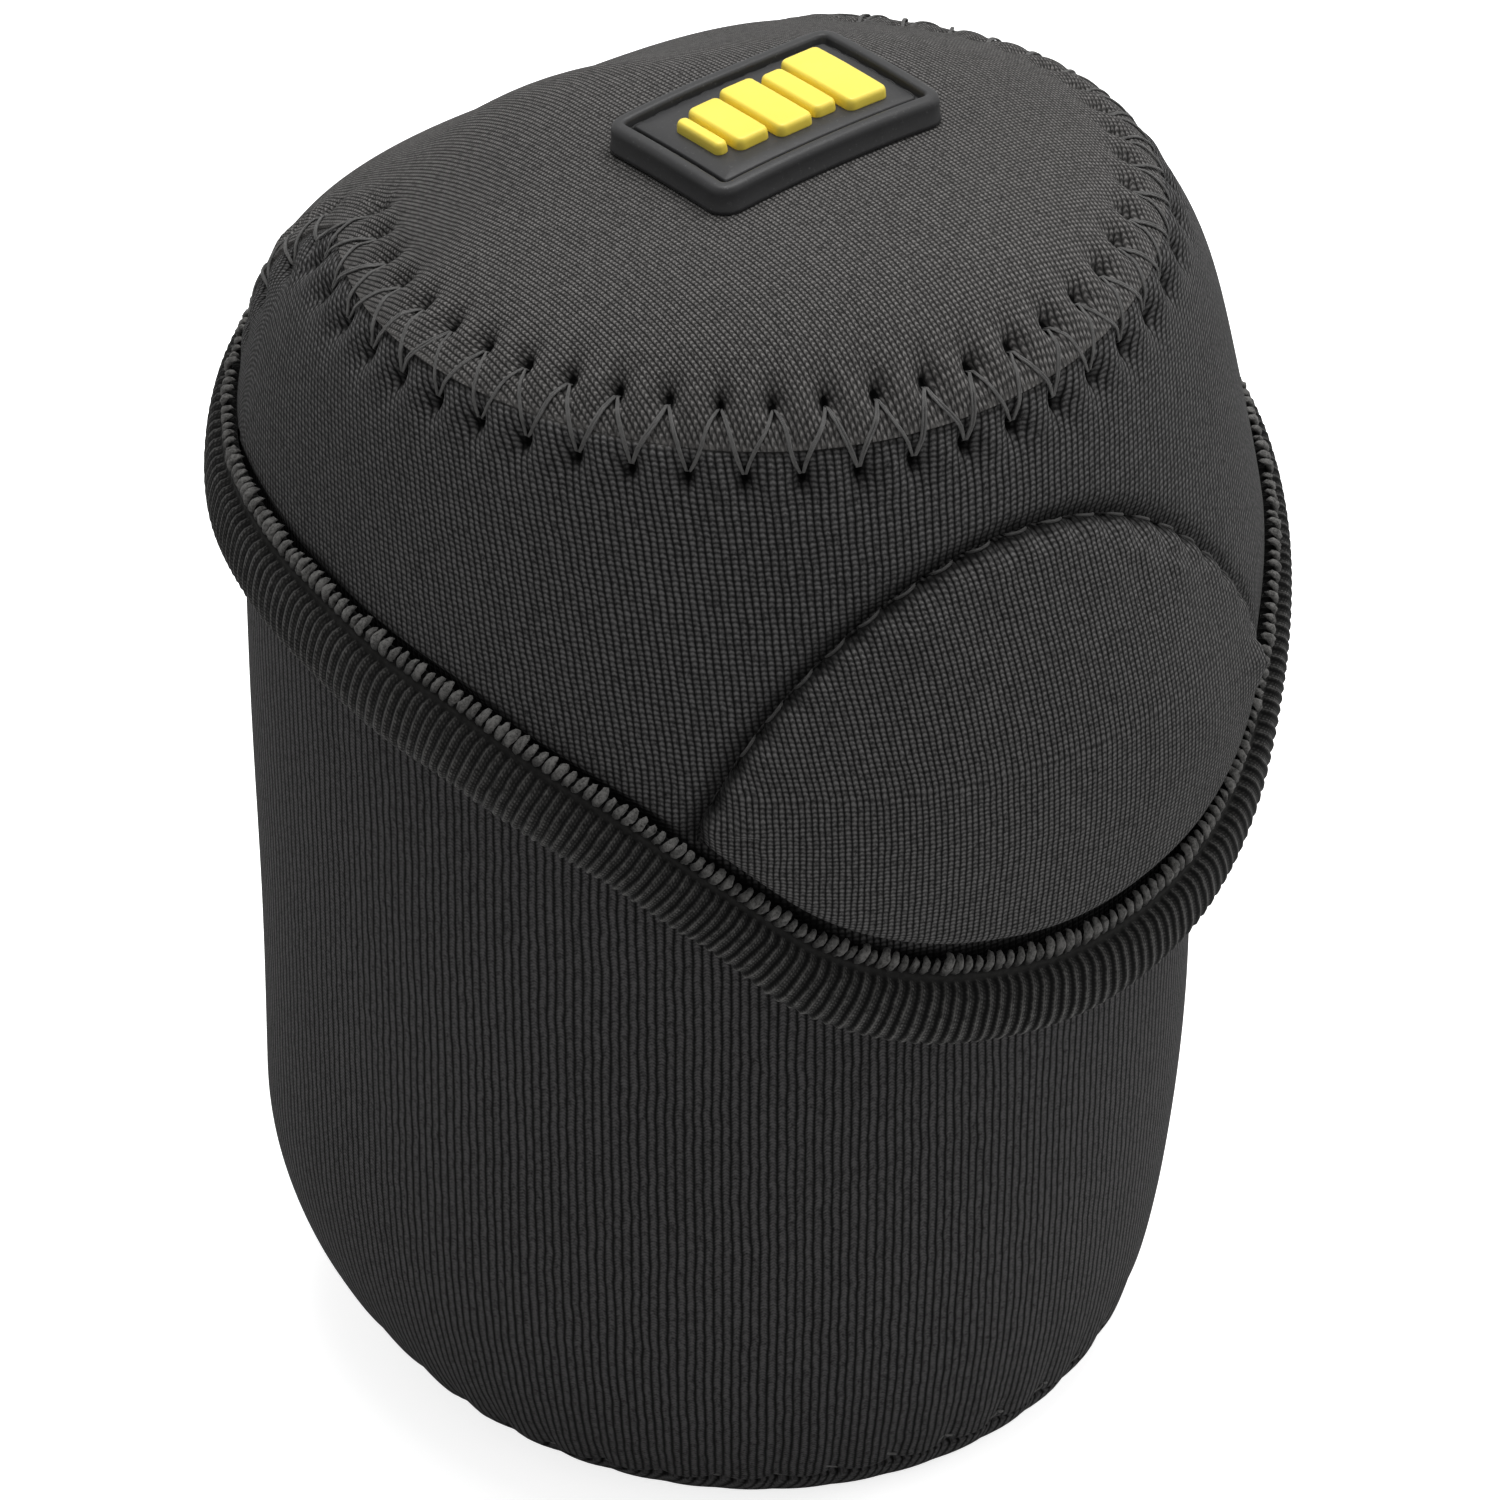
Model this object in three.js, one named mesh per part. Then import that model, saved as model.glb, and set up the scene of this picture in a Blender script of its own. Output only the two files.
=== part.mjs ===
// A padded neoprene pouch for a camera lens.
// A round cup with a drawn-in mouth carries a domed flap on a sewn fabric hinge at the back.
// Millimetres and degrees, +Z up, the front faces -Y, the origin is under the cup's axis on the floor.
import * as THREE from "three";
import { mergeVertices } from "three/addons/utils/BufferGeometryUtils.js";

// Clearances
const SEAM_GAP = 0.3;
const RUNNING_GAP = 0.5;
const WELD_TOLERANCE = 0.0001;

// Cup
const BODY_RADIUS = 45.4;
const BODY_BACK_DEPTH = 40.4;
const BODY_BACK_SQUARENESS_SHARE = 2.33;
const WALL_THICKNESS = 3.5;
const BASE_THICKNESS = 4;
const MOUTH_HEIGHT = 104;
const NECK_DROP = 16;
const NECK_BOTTOM = MOUTH_HEIGHT - NECK_DROP;
const NECK_LENGTH = 6.5;
const MOUTH_DRAW = 6;
const NECK_DRAW_SHARE = 0.8;
const FOOT_FRONT_HEIGHT = 43.7;
const FOOT_BACK_HEIGHT = 23.9;
const FOOT_FRONT_INSET = 7.9;
const FOOT_BACK_INSET = 22.7;
const FOOT_FLARE_SHARES = [0.74, 0.55];
const FOOT_RISE_SHARE = 0.42;
const FOOT_SEAM_SHARE = 0.3;
const INNER_FLARE_SHARES = [0.45, 0.5];

// Back strip, from the base up over the top
const STRIP_HALF_ANGLE = 40;
const HINGE_BOTTOM = NECK_BOTTOM;
const HINGE_TOP = MOUTH_HEIGHT;
const HINGE_SIDE_SLIT = 1;

// Flap
const FLAP_STEP = 3.5;
const FLAP_FORWARD = 4;
const FLAP_BACK_SQUARENESS_SHARE = 2.41;
const FLAP_THICKNESS = 3;
const SPRING_DROP = 11.5;
const SPRING_HEIGHT = MOUTH_HEIGHT - SPRING_DROP;
const SPRING_ROUNDING_SHARE = 0.06;
const DOME_RISE = 31.1;
const APEX_HEIGHT = MOUTH_HEIGHT + DOME_RISE;
const APEX_OFFSET = 9.4;
const APEX_ROUNDING = 9;
const FRONT_SHOULDER_DROP = 1.8;
const BACK_SHOULDER_DROP = 11.9;
const FRONT_CROWN_RISE = 1.9;
const BACK_CROWN_DROP = 16.3;
const SHOULDER_SHARES = [0.85, 0.85];
const CROWN_SHARES = [1.115, 0.607];

// Crown seam, a circle in plan that runs back into the hinge
const CROWN_SEAM_RADIUS = 37.4;
const CROWN_SEAM_OFFSET = 5.4;
const CROWN_SEAM_ASIDE = -1.4;
const CROWN_SEAM_TURN_ANGLE = 114;
const STITCH_PITCH = 6;
const STITCH_WIDTH = 7;
const STITCH_TURN_SHARE = 0.07;
const STITCH_CORNER_SHARE = 0.86;
const THREAD_DIAMETER = 1;

// Lower edge of the flap: how far the cord lies under the mouth at the front, and its rise towards the hinge
const EDGE_FRONT_DROP = 33.3;
const EDGE_FRONT_HEIGHT = MOUTH_HEIGHT - EDGE_FRONT_DROP;
const EDGE_RISE = 40;
const EDGE_TURN = -2;
const EDGE_ANGLES = [0, 10, 20, 30, 40, 50, 60, 70, 80, 90, 100, 110, 120, 130, 140];
const EDGE_RISE_SHARES = [
  0, 0.018, 0.065, 0.163, 0.328, 0.478, 0.585, 0.67, 0.719, 0.761, 0.791, 0.833, 0.879, 0.924, 0.958,
];
const CORD_DIAMETER = 2.2;
const CORD_STAND_OFF = 1.5;
const CORD_RISE = 0.5;

// Flap binding, a thick folded tape around the skirt's edge
const BAND_HEIGHT = 7.8;
const BAND_DEPTH = 2.4;
const BAND_LEAF = 1;
const BAND_TOP_DROP = 1.2;
// Outer face of the tape, as shares of its depth and height from the lip down to the roll
const BAND_FACE_SHARES = [[0.62, 0.05], [0.95, 0.3], [1, 0.58], [0.72, 0.88], [0, 1]];
// Inner leaf: where it begins under the lip, where it turns into the roll and how flat the roll is
const BAND_LEAF_TOP_SHARE = 0.18;
const BAND_LEAF_TURN_SHARE = 0.86;
const BAND_ROLL_SHARE = 0.7;

// Mouth binding
const MOUTH_BAND_HEIGHT = 7;
const MOUTH_BAND_LEAF = 1;

// Padded pull at the front
const PAD_CENTRE_ANGLE = -5;
const PAD_HALF_ANGLE = 40;
const PAD_TOP_RISE = 8.4;
const PAD_TOP_HEIGHT = MOUTH_HEIGHT + PAD_TOP_RISE;
const PAD_TIP_RISE = 1.6;
const PAD_CROWN = 4.2;
const PAD_EDGE = 1.6;
const PAD_ARCH_SHARE = 0.77;
const PAD_SWELL_SHARE = 0.6;

// Touch fastener
const FASTENER_HALF_ANGLE = 17;
const FASTENER_DROP = 33;
const FASTENER_BOTTOM = MOUTH_HEIGHT - FASTENER_DROP;
const FASTENER_HEIGHT = 17;
const HOOK_THICKNESS = 1.7;
const LOOP_THICKNESS = 1.3;

// Belt loop on the back
const LOOP_WIDTH = 38;
const LOOP_BOTTOM = 24;
const LOOP_LENGTH = 60;
const LOOP_WEB = 1.8;
const LOOP_SEWN_LENGTH = 5;
const LOOP_RAMP_LENGTH = 7;
const BELT_ROOM = 5.6;

// Moulded rubber patch and its raised sign
const PATCH_LENGTH = 26;
const PATCH_WIDTH = 17.5;
const PATCH_CENTRE_X = -0.9;
const PATCH_CENTRE_Y = -8.4;
const PATCH_SQUARENESS_SHARE = 6;
const PATCH_BASE = 1.4;
const PATCH_RIM = 2;
const PATCH_RIM_HEIGHT = 1.3;
const SIGN_HEIGHT = 1.5;
const SIGN_LENGTH = 18.6;
const SIGN_WIDTH = 10.2;
const SIGN_SQUARENESS_SHARE = 9;
const SIGN_STEP = 0.55;
// Each block of the sign: its shares of the sign's length and width
const SIGN_BLOCKS = [
  { name: "sign_mount", lengthShare: 0.1, widthShare: 0.61 },
  { name: "sign_rear_barrel", lengthShare: 0.22, widthShare: 0.76 },
  { name: "sign_focus_ring", lengthShare: 0.24, widthShare: 0.9 },
  { name: "sign_front_barrel", lengthShare: 0.17, widthShare: 0.8 },
  { name: "sign_hood", lengthShare: 0.27, widthShare: 1 },
];

// Mesh density
const AROUND = 44;
const STRIP_AROUND = 18;
const FLAP_GRID_ANGLE = 5;
const CORD_POINTS = 49;
const CORD_STEPS = 60;
const BASE_FLAT_SHARE = 0.6;

const rad = THREE.MathUtils.degToRad;
const lerp = THREE.MathUtils.lerp;
const smooth = (x) => THREE.MathUtils.smoothstep(x, 0, 1);
const clamp01 = (x) => THREE.MathUtils.clamp(x, 0, 1);

// Materials
const cloth = (name, color, roughness = 0.95) => {
  const material = new THREE.MeshStandardMaterial({ color, roughness, metalness: 0 });
  material.name = name;
  return material;
};
const JERSEY = cloth("charcoal jersey over neoprene", 0x38373a);
const TOP_JERSEY = cloth("lighter jersey of the top", 0x4a4849);
const BINDING = cloth("ribbed elastic binding", 0x2b2b2d, 0.85);
const THREAD = cloth("sewing thread", 0x2e2e31, 0.6);
const RUBBER = cloth("moulded rubber", 0x3b3c3f, 0.6);
const SIGN = cloth("yellow moulded rubber", 0xf6d031, 0.5);
const FASTENER = cloth("touch fastener", 0x1d1d1f, 1);
const WEBBING = cloth("woven webbing", 0x232325, 0.9);

// How far an angle is turned from the front towards the back, 0 to 1
const backness = (phi) => (1 - Math.cos(phi)) / 2;

// Radius of a plan that is round in front and a rounded square behind
function planRadius(phi, radius, backReach, squareness) {
  const side = Math.abs(Math.sin(phi));
  const along = Math.abs(Math.cos(phi));
  const behind = Math.cos(phi) < 0;
  const power = behind ? squareness : 2;
  const reach = behind ? backReach : radius;
  return ((side / radius) ** power + (along / reach) ** power) ** (-1 / power);
}

// Point at a plan radius, angle and height; the angle runs from the front towards +X
const polar = (radius, phi, z, centreY = 0) =>
  new THREE.Vector3(radius * Math.sin(phi), centreY - radius * Math.cos(phi), z);

// Cubic curve through a pair of end values and two handles
const cubic = (t, a, b, c, d) =>
  (1 - t) ** 3 * a + 3 * (1 - t) ** 2 * t * b + 3 * (1 - t) * t ** 2 * c + t ** 3 * d;

// Smooth rise through a table of shares
function tableRise(table, shares, x) {
  const last = table.length - 1;
  if (x >= table[last]) {
    return shares[last];
  }
  const k = Math.max(0, table.findIndex((value) => value > x) - 1);
  const span = table[k + 1] - table[k];
  const t = (x - table[k]) / span;
  const before = k > 0 ? (shares[k + 1] - shares[k - 1]) / (table[k + 1] - table[k - 1]) : 0;
  const after = k + 2 <= last
    ? (shares[k + 2] - shares[k]) / (table[k + 2] - table[k])
    : (shares[k + 1] - shares[k]) / span;
  const rise = 3 * t ** 2 - 2 * t ** 3;
  const leaving = (t ** 3 - 2 * t ** 2 + t) * span * before;
  const arriving = (t ** 3 - t ** 2) * span * after;
  return lerp(shares[k], shares[k + 1], rise) + leaving + arriving;
}

// Value between low and high where a rising function crosses a level
function solveRising(f, level, low, high) {
  let a = low;
  let b = high;
  for (let i = 0; i < 40; i += 1) {
    const middle = (a + b) / 2;
    if (f(middle) < level) {
      a = middle;
    } else {
      b = middle;
    }
  }
  return (a + b) / 2;
}

// Geometry from positions and triangles, with faces out and no slivers at poles
function closedGeometry(positions, triangles) {
  let geometry = new THREE.BufferGeometry();
  geometry.setAttribute("position", new THREE.Float32BufferAttribute(positions, 3));
  geometry.setIndex(triangles);
  geometry = mergeVertices(geometry, WELD_TOLERANCE);
  const kept = [];
  const index = geometry.getIndex().array;
  const place = geometry.getAttribute("position");
  const corner = (k) => new THREE.Vector3().fromBufferAttribute(place, k);
  let volume = 0;
  for (let i = 0; i < index.length; i += 3) {
    const [a, b, c] = [index[i], index[i + 1], index[i + 2]];
    if (a !== b && b !== c && c !== a) {
      kept.push(a, b, c);
      volume += corner(a).dot(corner(b).cross(corner(c)));
    }
  }
  if (volume < 0) {
    for (let i = 0; i < kept.length; i += 3) {
      [kept[i], kept[i + 1]] = [kept[i + 1], kept[i]];
    }
  }
  geometry.setIndex(kept);
  return geometry;
}

// A closed sheet between two surfaces over one grid; u and v run from 0 to 1
function sheet(outer, inner, uSteps, vSteps, wrapped = false) {
  const positions = [];
  const columns = wrapped ? uSteps : uSteps + 1;
  const rows = vSteps + 1;
  for (const surface of [outer, inner]) {
    for (let i = 0; i < columns; i += 1) {
      for (let j = 0; j < rows; j += 1) {
        positions.push(...surface(i / uSteps, j / vSteps).toArray());
      }
    }
  }
  const at = (side, i, j) => side * columns * rows + (i % columns) * rows + j;
  const triangles = [];
  const quad = (a, b, c, d) => triangles.push(a, b, c, a, c, d);
  for (let i = 0; i < uSteps; i += 1) {
    for (let j = 0; j < vSteps; j += 1) {
      quad(at(0, i, j), at(0, i + 1, j), at(0, i + 1, j + 1), at(0, i, j + 1));
      quad(at(1, i, j + 1), at(1, i + 1, j + 1), at(1, i + 1, j), at(1, i, j));
    }
    quad(at(1, i, 0), at(1, i + 1, 0), at(0, i + 1, 0), at(0, i, 0));
    quad(at(0, i, vSteps), at(0, i + 1, vSteps), at(1, i + 1, vSteps), at(1, i, vSteps));
  }
  if (!wrapped) {
    for (let j = 0; j < vSteps; j += 1) {
      quad(at(0, 0, j), at(0, 0, j + 1), at(1, 0, j + 1), at(1, 0, j));
      quad(at(1, uSteps, j), at(1, uSteps, j + 1), at(0, uSteps, j + 1), at(0, uSteps, j));
    }
  }
  return closedGeometry(positions, triangles);
}

// A closed bar whose section is a ring of points at each step, with fan caps
function bar(sectionAt, steps) {
  const positions = [];
  let sides = 0;
  for (let i = 0; i <= steps; i += 1) {
    const ring = sectionAt(i / steps);
    sides = ring.length;
    ring.forEach((point) => positions.push(...point.toArray()));
  }
  const triangles = [];
  for (let i = 0; i < steps; i += 1) {
    for (let j = 0; j < sides; j += 1) {
      const k = (j + 1) % sides;
      triangles.push(i * sides + j, i * sides + k, (i + 1) * sides + k);
      triangles.push(i * sides + j, (i + 1) * sides + k, (i + 1) * sides + j);
    }
  }
  const outline = sectionAt.outline.map(([x, y]) => new THREE.Vector2(x, y));
  const backwards = THREE.ShapeUtils.isClockWise(outline);
  const ordered = backwards ? [...outline].reverse() : outline;
  const from = (k) => (backwards ? sides - 1 - k : k);
  for (const face of THREE.ShapeUtils.triangulateShape(ordered, [])) {
    const [a, b, c] = backwards ? face.map(from).reverse() : face;
    triangles.push(a, c, b);
    triangles.push(steps * sides + a, steps * sides + b, steps * sides + c);
  }
  return closedGeometry(positions, triangles);
}

// Cup surfaces
const bodyPlan = (phi) => planRadius(phi, BODY_RADIUS, BODY_BACK_DEPTH, BODY_BACK_SQUARENESS_SHARE);
const footHeight = (phi) => lerp(FOOT_FRONT_HEIGHT, FOOT_BACK_HEIGHT, backness(phi));
const footInset = (phi) => lerp(FOOT_FRONT_INSET, FOOT_BACK_INSET, backness(phi));

// Foot of the cup: share 0 at the flat of the base, share 1 where the wall stands upright
function footPoint(phi, share, depth) {
  const t = 1 - share;
  const plan = bodyPlan(phi) - depth;
  const inset = footInset(phi);
  const height = footHeight(phi);
  const floor = depth * (BASE_THICKNESS / WALL_THICKNESS);
  const flares = depth > 0 ? INNER_FLARE_SHARES : FOOT_FLARE_SHARES;
  const flare = lerp(flares[0], flares[1], backness(phi));
  const radius = cubic(t, plan, plan, plan - inset * (1 - flare), plan - inset);
  const z = cubic(t, height, lerp(floor, height, FOOT_RISE_SHARE), floor, floor);
  return polar(radius, phi, z);
}

// Inward draw of the wall under the flap
function mouthDraw(z) {
  const neck = smooth((z - NECK_BOTTOM) / NECK_LENGTH);
  const above = clamp01((z - NECK_BOTTOM) / (MOUTH_HEIGHT - NECK_BOTTOM));
  return MOUTH_DRAW * lerp(above, neck, NECK_DRAW_SHARE);
}

const wallPoint = (phi, z, depth) => polar(bodyPlan(phi) - mouthDraw(z) - depth, phi, z);

// Rows of the cup from the base seam up: shares of the foot first, then the heights of the upright wall
const FOOT_ROW_SHARES = [0, 0.12, 0.28, 0.46, 0.7, 1];
const seamToWall = (share) => lerp(FOOT_SEAM_SHARE, 1, share);

function risingPoint(phi, row, heights, depth, draw) {
  if (row < FOOT_ROW_SHARES.length) {
    return footPoint(phi, seamToWall(FOOT_ROW_SHARES[row]), depth);
  }
  const z = heights[row - FOOT_ROW_SHARES.length];
  return polar(bodyPlan(phi) - draw(z) - depth, phi, z);
}

const WALL_HEIGHTS = [
  (FOOT_FRONT_HEIGHT + NECK_BOTTOM) / 2, NECK_BOTTOM, NECK_BOTTOM + NECK_LENGTH / 3,
  NECK_BOTTOM + 2 * NECK_LENGTH / 3, NECK_BOTTOM + NECK_LENGTH, MOUTH_HEIGHT,
];
const BACK_HEIGHTS = [(FOOT_BACK_HEIGHT + HINGE_BOTTOM) / 2, HINGE_BOTTOM - SEAM_GAP];

// Flap surface: t is 0 where the shoulder starts and 1 at the apex, and runs straight down below 0
const FLAP_RADIUS = BODY_RADIUS + FLAP_STEP;
const FLAP_BACK_DEPTH = BODY_BACK_DEPTH + FLAP_FORWARD;
const flapPlan = (phi) => planRadius(phi, FLAP_RADIUS, FLAP_BACK_DEPTH, FLAP_BACK_SQUARENESS_SHARE);

function flapPoint(phi, t) {
  const back = backness(phi);
  const shoulderHeight = APEX_HEIGHT - lerp(FRONT_SHOULDER_DROP, BACK_SHOULDER_DROP, back);
  const crownHeight = APEX_HEIGHT + lerp(FRONT_CROWN_RISE, -BACK_CROWN_DROP, back);
  const shoulder = lerp(SHOULDER_SHARES[0], SHOULDER_SHARES[1], back);
  const crown = lerp(CROWN_SHARES[0], CROWN_SHARES[1], back);
  const lean = t < 0.5 ? (t + Math.hypot(t, SPRING_ROUNDING_SHARE * (1 - 2 * Math.abs(t)))) / 2 : t;
  const radius = flapPlan(phi) * cubic(lean, 1, shoulder, crown, 0);
  if (t < 0) {
    return polar(radius, phi, SPRING_HEIGHT + 3 * t * (shoulderHeight - SPRING_HEIGHT), -FLAP_FORWARD);
  }
  const raw = cubic(t, SPRING_HEIGHT, shoulderHeight, crownHeight, APEX_HEIGHT);
  const rounding = radius / Math.hypot(radius, APEX_ROUNDING);
  const z = APEX_HEIGHT - (APEX_HEIGHT - raw) * rounding;
  return polar(radius, phi, z, -FLAP_FORWARD + APEX_OFFSET * (1 - (1 - t) ** 2));
}

// Outward normal of the flap from two nearby steps
const NORMAL_STEP_SHARE = 0.002;
const SEAT_STEP_SHARE = 0.08;
function flapNormal(phi, t) {
  const tt = Math.min(t, 1 - 4 * NORMAL_STEP_SHARE);
  const along = flapPoint(phi + NORMAL_STEP_SHARE, tt).sub(flapPoint(phi - NORMAL_STEP_SHARE, tt));
  const up = flapPoint(phi, tt + NORMAL_STEP_SHARE).sub(flapPoint(phi, tt - NORMAL_STEP_SHARE));
  return along.cross(up).normalize();
}

const flapOffset = (phi, t, out) => flapPoint(phi, t).addScaledVector(flapNormal(phi, t), out);
const flapAtHeight = (phi, z) => solveRising((t) => flapPoint(phi, t).z, z, -1, 0.8);

// Height of the edge cord round the flap
function edgeHeight(phi) {
  const turned = Math.abs(THREE.MathUtils.radToDeg(phi) - EDGE_TURN * Math.cos(phi / 2));
  return EDGE_FRONT_HEIGHT + EDGE_RISE * tableRise(EDGE_ANGLES, EDGE_RISE_SHARES, turned);
}

// Crown seam: in plan a circle, which turns down into the hinge at the back
function seamCircleShare(phi) {
  const outside = (t) => {
    const point = flapPoint(phi, t);
    return -Math.hypot(point.x - CROWN_SEAM_ASIDE, point.y + CROWN_SEAM_OFFSET);
  };
  return solveRising(outside, -CROWN_SEAM_RADIUS, 0, 0.95);
}

function crownSeamShare(phi) {
  const turn = rad(CROWN_SEAM_TURN_ANGLE);
  const end = Math.PI - rad(STRIP_HALF_ANGLE);
  const angle = Math.abs(phi);
  if (angle <= turn) {
    return seamCircleShare(phi);
  }
  const down = smooth((angle - turn) / (end - turn));
  const hinge = flapAtHeight(phi, HINGE_TOP + SEAM_GAP);
  return lerp(seamCircleShare(Math.sign(phi) * turn), hinge, down);
}

// A plan place on the flap: which angle and share lie over it
function flapUnder(x, y) {
  const miss = (t) => {
    const centreY = -FLAP_FORWARD + APEX_OFFSET * (1 - (1 - t) ** 2);
    const phi = Math.atan2(x, -(y - centreY));
    const point = flapPoint(phi, t);
    return Math.hypot(x, y - centreY) - Math.hypot(point.x, point.y - centreY);
  };
  const t = solveRising(miss, 0, 0.3, 0.9999);
  const centreY = -FLAP_FORWARD + APEX_OFFSET * (1 - (1 - t) ** 2);
  return [Math.atan2(x, -(y - centreY)), t];
}

// Place over the flap's top, from plan offsets about the patch's centre and a height over the fabric
function overTop(x, y, height) {
  const [phi, t] = flapUnder(x + PATCH_CENTRE_X, y + PATCH_CENTRE_Y);
  return flapOffset(phi, t, height);
}

// Rounded rectangle round the origin, as a place at a turn from 0 to 1
function roundedPlace(turn, length, width, squareness) {
  const [c, d] = [Math.cos(2 * Math.PI * turn), Math.sin(2 * Math.PI * turn)];
  const bend = (value) => Math.sign(value) * Math.abs(value) ** (2 / squareness);
  return [length / 2 * bend(c), width / 2 * bend(d)];
}

// Pieces of the cup
function bodyWall() {
  const half = Math.PI - rad(STRIP_HALF_ANGLE) - SEAM_GAP / BODY_RADIUS;
  const rows = FOOT_ROW_SHARES.length + WALL_HEIGHTS.length - 1;
  const surface = (depth) => (u, v) =>
    risingPoint(lerp(-half, half, u), Math.round(v * rows), WALL_HEIGHTS, depth, mouthDraw);
  return sheet(surface(0), surface(WALL_THICKNESS), AROUND, rows);
}

function backPanel() {
  const half = rad(STRIP_HALF_ANGLE);
  const rows = FOOT_ROW_SHARES.length + BACK_HEIGHTS.length - 1;
  const upright = () => 0;
  const surface = (depth) => (u, v) => {
    const phi = lerp(Math.PI - half, Math.PI + half, u);
    return risingPoint(phi, Math.round(v * rows), BACK_HEIGHTS, depth, upright);
  };
  return sheet(surface(0), surface(WALL_THICKNESS), STRIP_AROUND, rows);
}

// Base: flat disc whose rim turns up to the seam
function basePanel() {
  const gapShare = SEAM_GAP / FOOT_FRONT_INSET;
  const surface = (depth) => (u, v) => {
    const phi = 2 * Math.PI * u;
    if (v <= BASE_FLAT_SHARE) {
      const edge = footPoint(phi, 0, depth);
      return new THREE.Vector3(edge.x * v / BASE_FLAT_SHARE, edge.y * v / BASE_FLAT_SHARE, edge.z);
    }
    const up = (v - BASE_FLAT_SHARE) / (1 - BASE_FLAT_SHARE);
    return footPoint(phi, (FOOT_SEAM_SHARE - gapShare) * up, depth);
  };
  return sheet(surface(WALL_THICKNESS), surface(0), AROUND, 5, true);
}

// Folded tape over the cup's mouth
function mouthBinding() {
  const half = Math.PI - rad(STRIP_HALF_ANGLE) - 2 * SEAM_GAP / BODY_RADIUS;
  const [gap, leaf] = [SEAM_GAP, MOUTH_BAND_LEAF];
  const low = -MOUTH_BAND_HEIGHT;
  const inside = -WALL_THICKNESS;
  const outline = [
    [gap, low], [gap + leaf, low], [gap + leaf, gap], [gap, gap + leaf],
    [inside - gap, gap + leaf], [inside - gap - leaf, gap], [inside - gap - leaf, low], [inside - gap, low],
    [inside - gap, gap], [gap, gap],
  ];
  const section = (u) => {
    const phi = lerp(-half, half, u);
    return outline.map(([out, up]) => {
      const draw = mouthDraw(Math.min(MOUTH_HEIGHT, MOUTH_HEIGHT + up));
      return polar(bodyPlan(phi) - draw + out, phi, MOUTH_HEIGHT + up);
    });
  };
  section.outline = outline;
  return bar(section, AROUND);
}

// Soft half of the touch fastener, on the front of the cup
function loopTape() {
  const angle = (u) => rad(lerp(-FASTENER_HALF_ANGLE, FASTENER_HALF_ANGLE, u));
  const height = (v) => FASTENER_BOTTOM + v * FASTENER_HEIGHT;
  return sheet(
    (u, v) => wallPoint(angle(u), height(v), -SEAM_GAP - LOOP_THICKNESS),
    (u, v) => wallPoint(angle(u), height(v), -SEAM_GAP),
    10, 5,
  );
}

// Hook half of the touch fastener, inside the flap
function hookTape() {
  const angle = (u) => rad(lerp(-FASTENER_HALF_ANGLE, FASTENER_HALF_ANGLE, u));
  const bottom = EDGE_FRONT_HEIGHT + CORD_DIAMETER + SEAM_GAP;
  const height = (v) => bottom + v * FASTENER_HEIGHT;
  const under = FLAP_THICKNESS + RUNNING_GAP;
  const surface = (depth) => (u, v) => {
    const phi = angle(u);
    return flapOffset(phi, flapAtHeight(phi, height(v)), -depth);
  };
  return sheet(surface(under), surface(under + HOOK_THICKNESS), 10, 5);
}

// Place on the back panel, by its offset to the side and its height
function backPlace(x, z, out) {
  const phi = solveRising((angle) => -bodyPlan(angle) * Math.sin(angle), -x, Math.PI / 2, 1.5 * Math.PI);
  const inFoot = z < footHeight(phi);
  const share = inFoot ? solveRising((s) => footPoint(phi, s, 0).z, z, 0, 1) : 1;
  const onFoot = footPoint(phi, share, 0);
  const radius = inFoot ? Math.hypot(onFoot.x, onFoot.y) : bodyPlan(phi);
  return new THREE.Vector3(x, -radius * Math.cos(phi) + out, z);
}

// Belt loop: webbing that stands clear of the back in the middle and comes down to it at both ends
function strapPlace(x, z, out) {
  const fromEnd = Math.min(z - LOOP_BOTTOM, LOOP_BOTTOM + LOOP_LENGTH - z);
  const lift = smooth((fromEnd - LOOP_SEWN_LENGTH) / LOOP_RAMP_LENGTH);
  const down = backPlace(x, z, SEAM_GAP + out);
  const clear = BODY_BACK_DEPTH + BELT_ROOM + out;
  return new THREE.Vector3(x, lerp(down.y, clear, lift), z);
}

function strapLength(bottom, top, rows) {
  const surface = (out) => (u, v) =>
    strapPlace(lerp(LOOP_WIDTH / 2, -LOOP_WIDTH / 2, u), lerp(bottom, top, v), out);
  return sheet(surface(LOOP_WEB), surface(0), 8, rows);
}

const END_LENGTH = LOOP_SEWN_LENGTH + LOOP_RAMP_LENGTH;
const lowerStrapEnd = () => strapLength(LOOP_BOTTOM, LOOP_BOTTOM + END_LENGTH - SEAM_GAP, 6);
const upperStrapEnd = () =>
  strapLength(LOOP_BOTTOM + LOOP_LENGTH - END_LENGTH + SEAM_GAP, LOOP_BOTTOM + LOOP_LENGTH, 6);
const beltLoop = () => strapLength(LOOP_BOTTOM + END_LENGTH, LOOP_BOTTOM + LOOP_LENGTH - END_LENGTH, 2);

// Bending strip between the back panel and the flap
function hingeStrip() {
  const half = rad(STRIP_HALF_ANGLE) - HINGE_SIDE_SLIT / BODY_RADIUS;
  const surface = (depth) => (u, v) => {
    const phi = lerp(Math.PI - half, Math.PI + half, u);
    const low = polar(bodyPlan(phi) - depth, phi, HINGE_BOTTOM);
    const high = flapOffset(phi, flapAtHeight(phi, HINGE_TOP), -depth);
    return low.lerp(high, v);
  };
  return sheet(surface(0), surface(FLAP_THICKNESS), STRIP_AROUND, 4);
}

// Pieces of the flap
const bandLow = (phi) => edgeHeight(phi) - BAND_TOP_DROP - BAND_HEIGHT;

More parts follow.
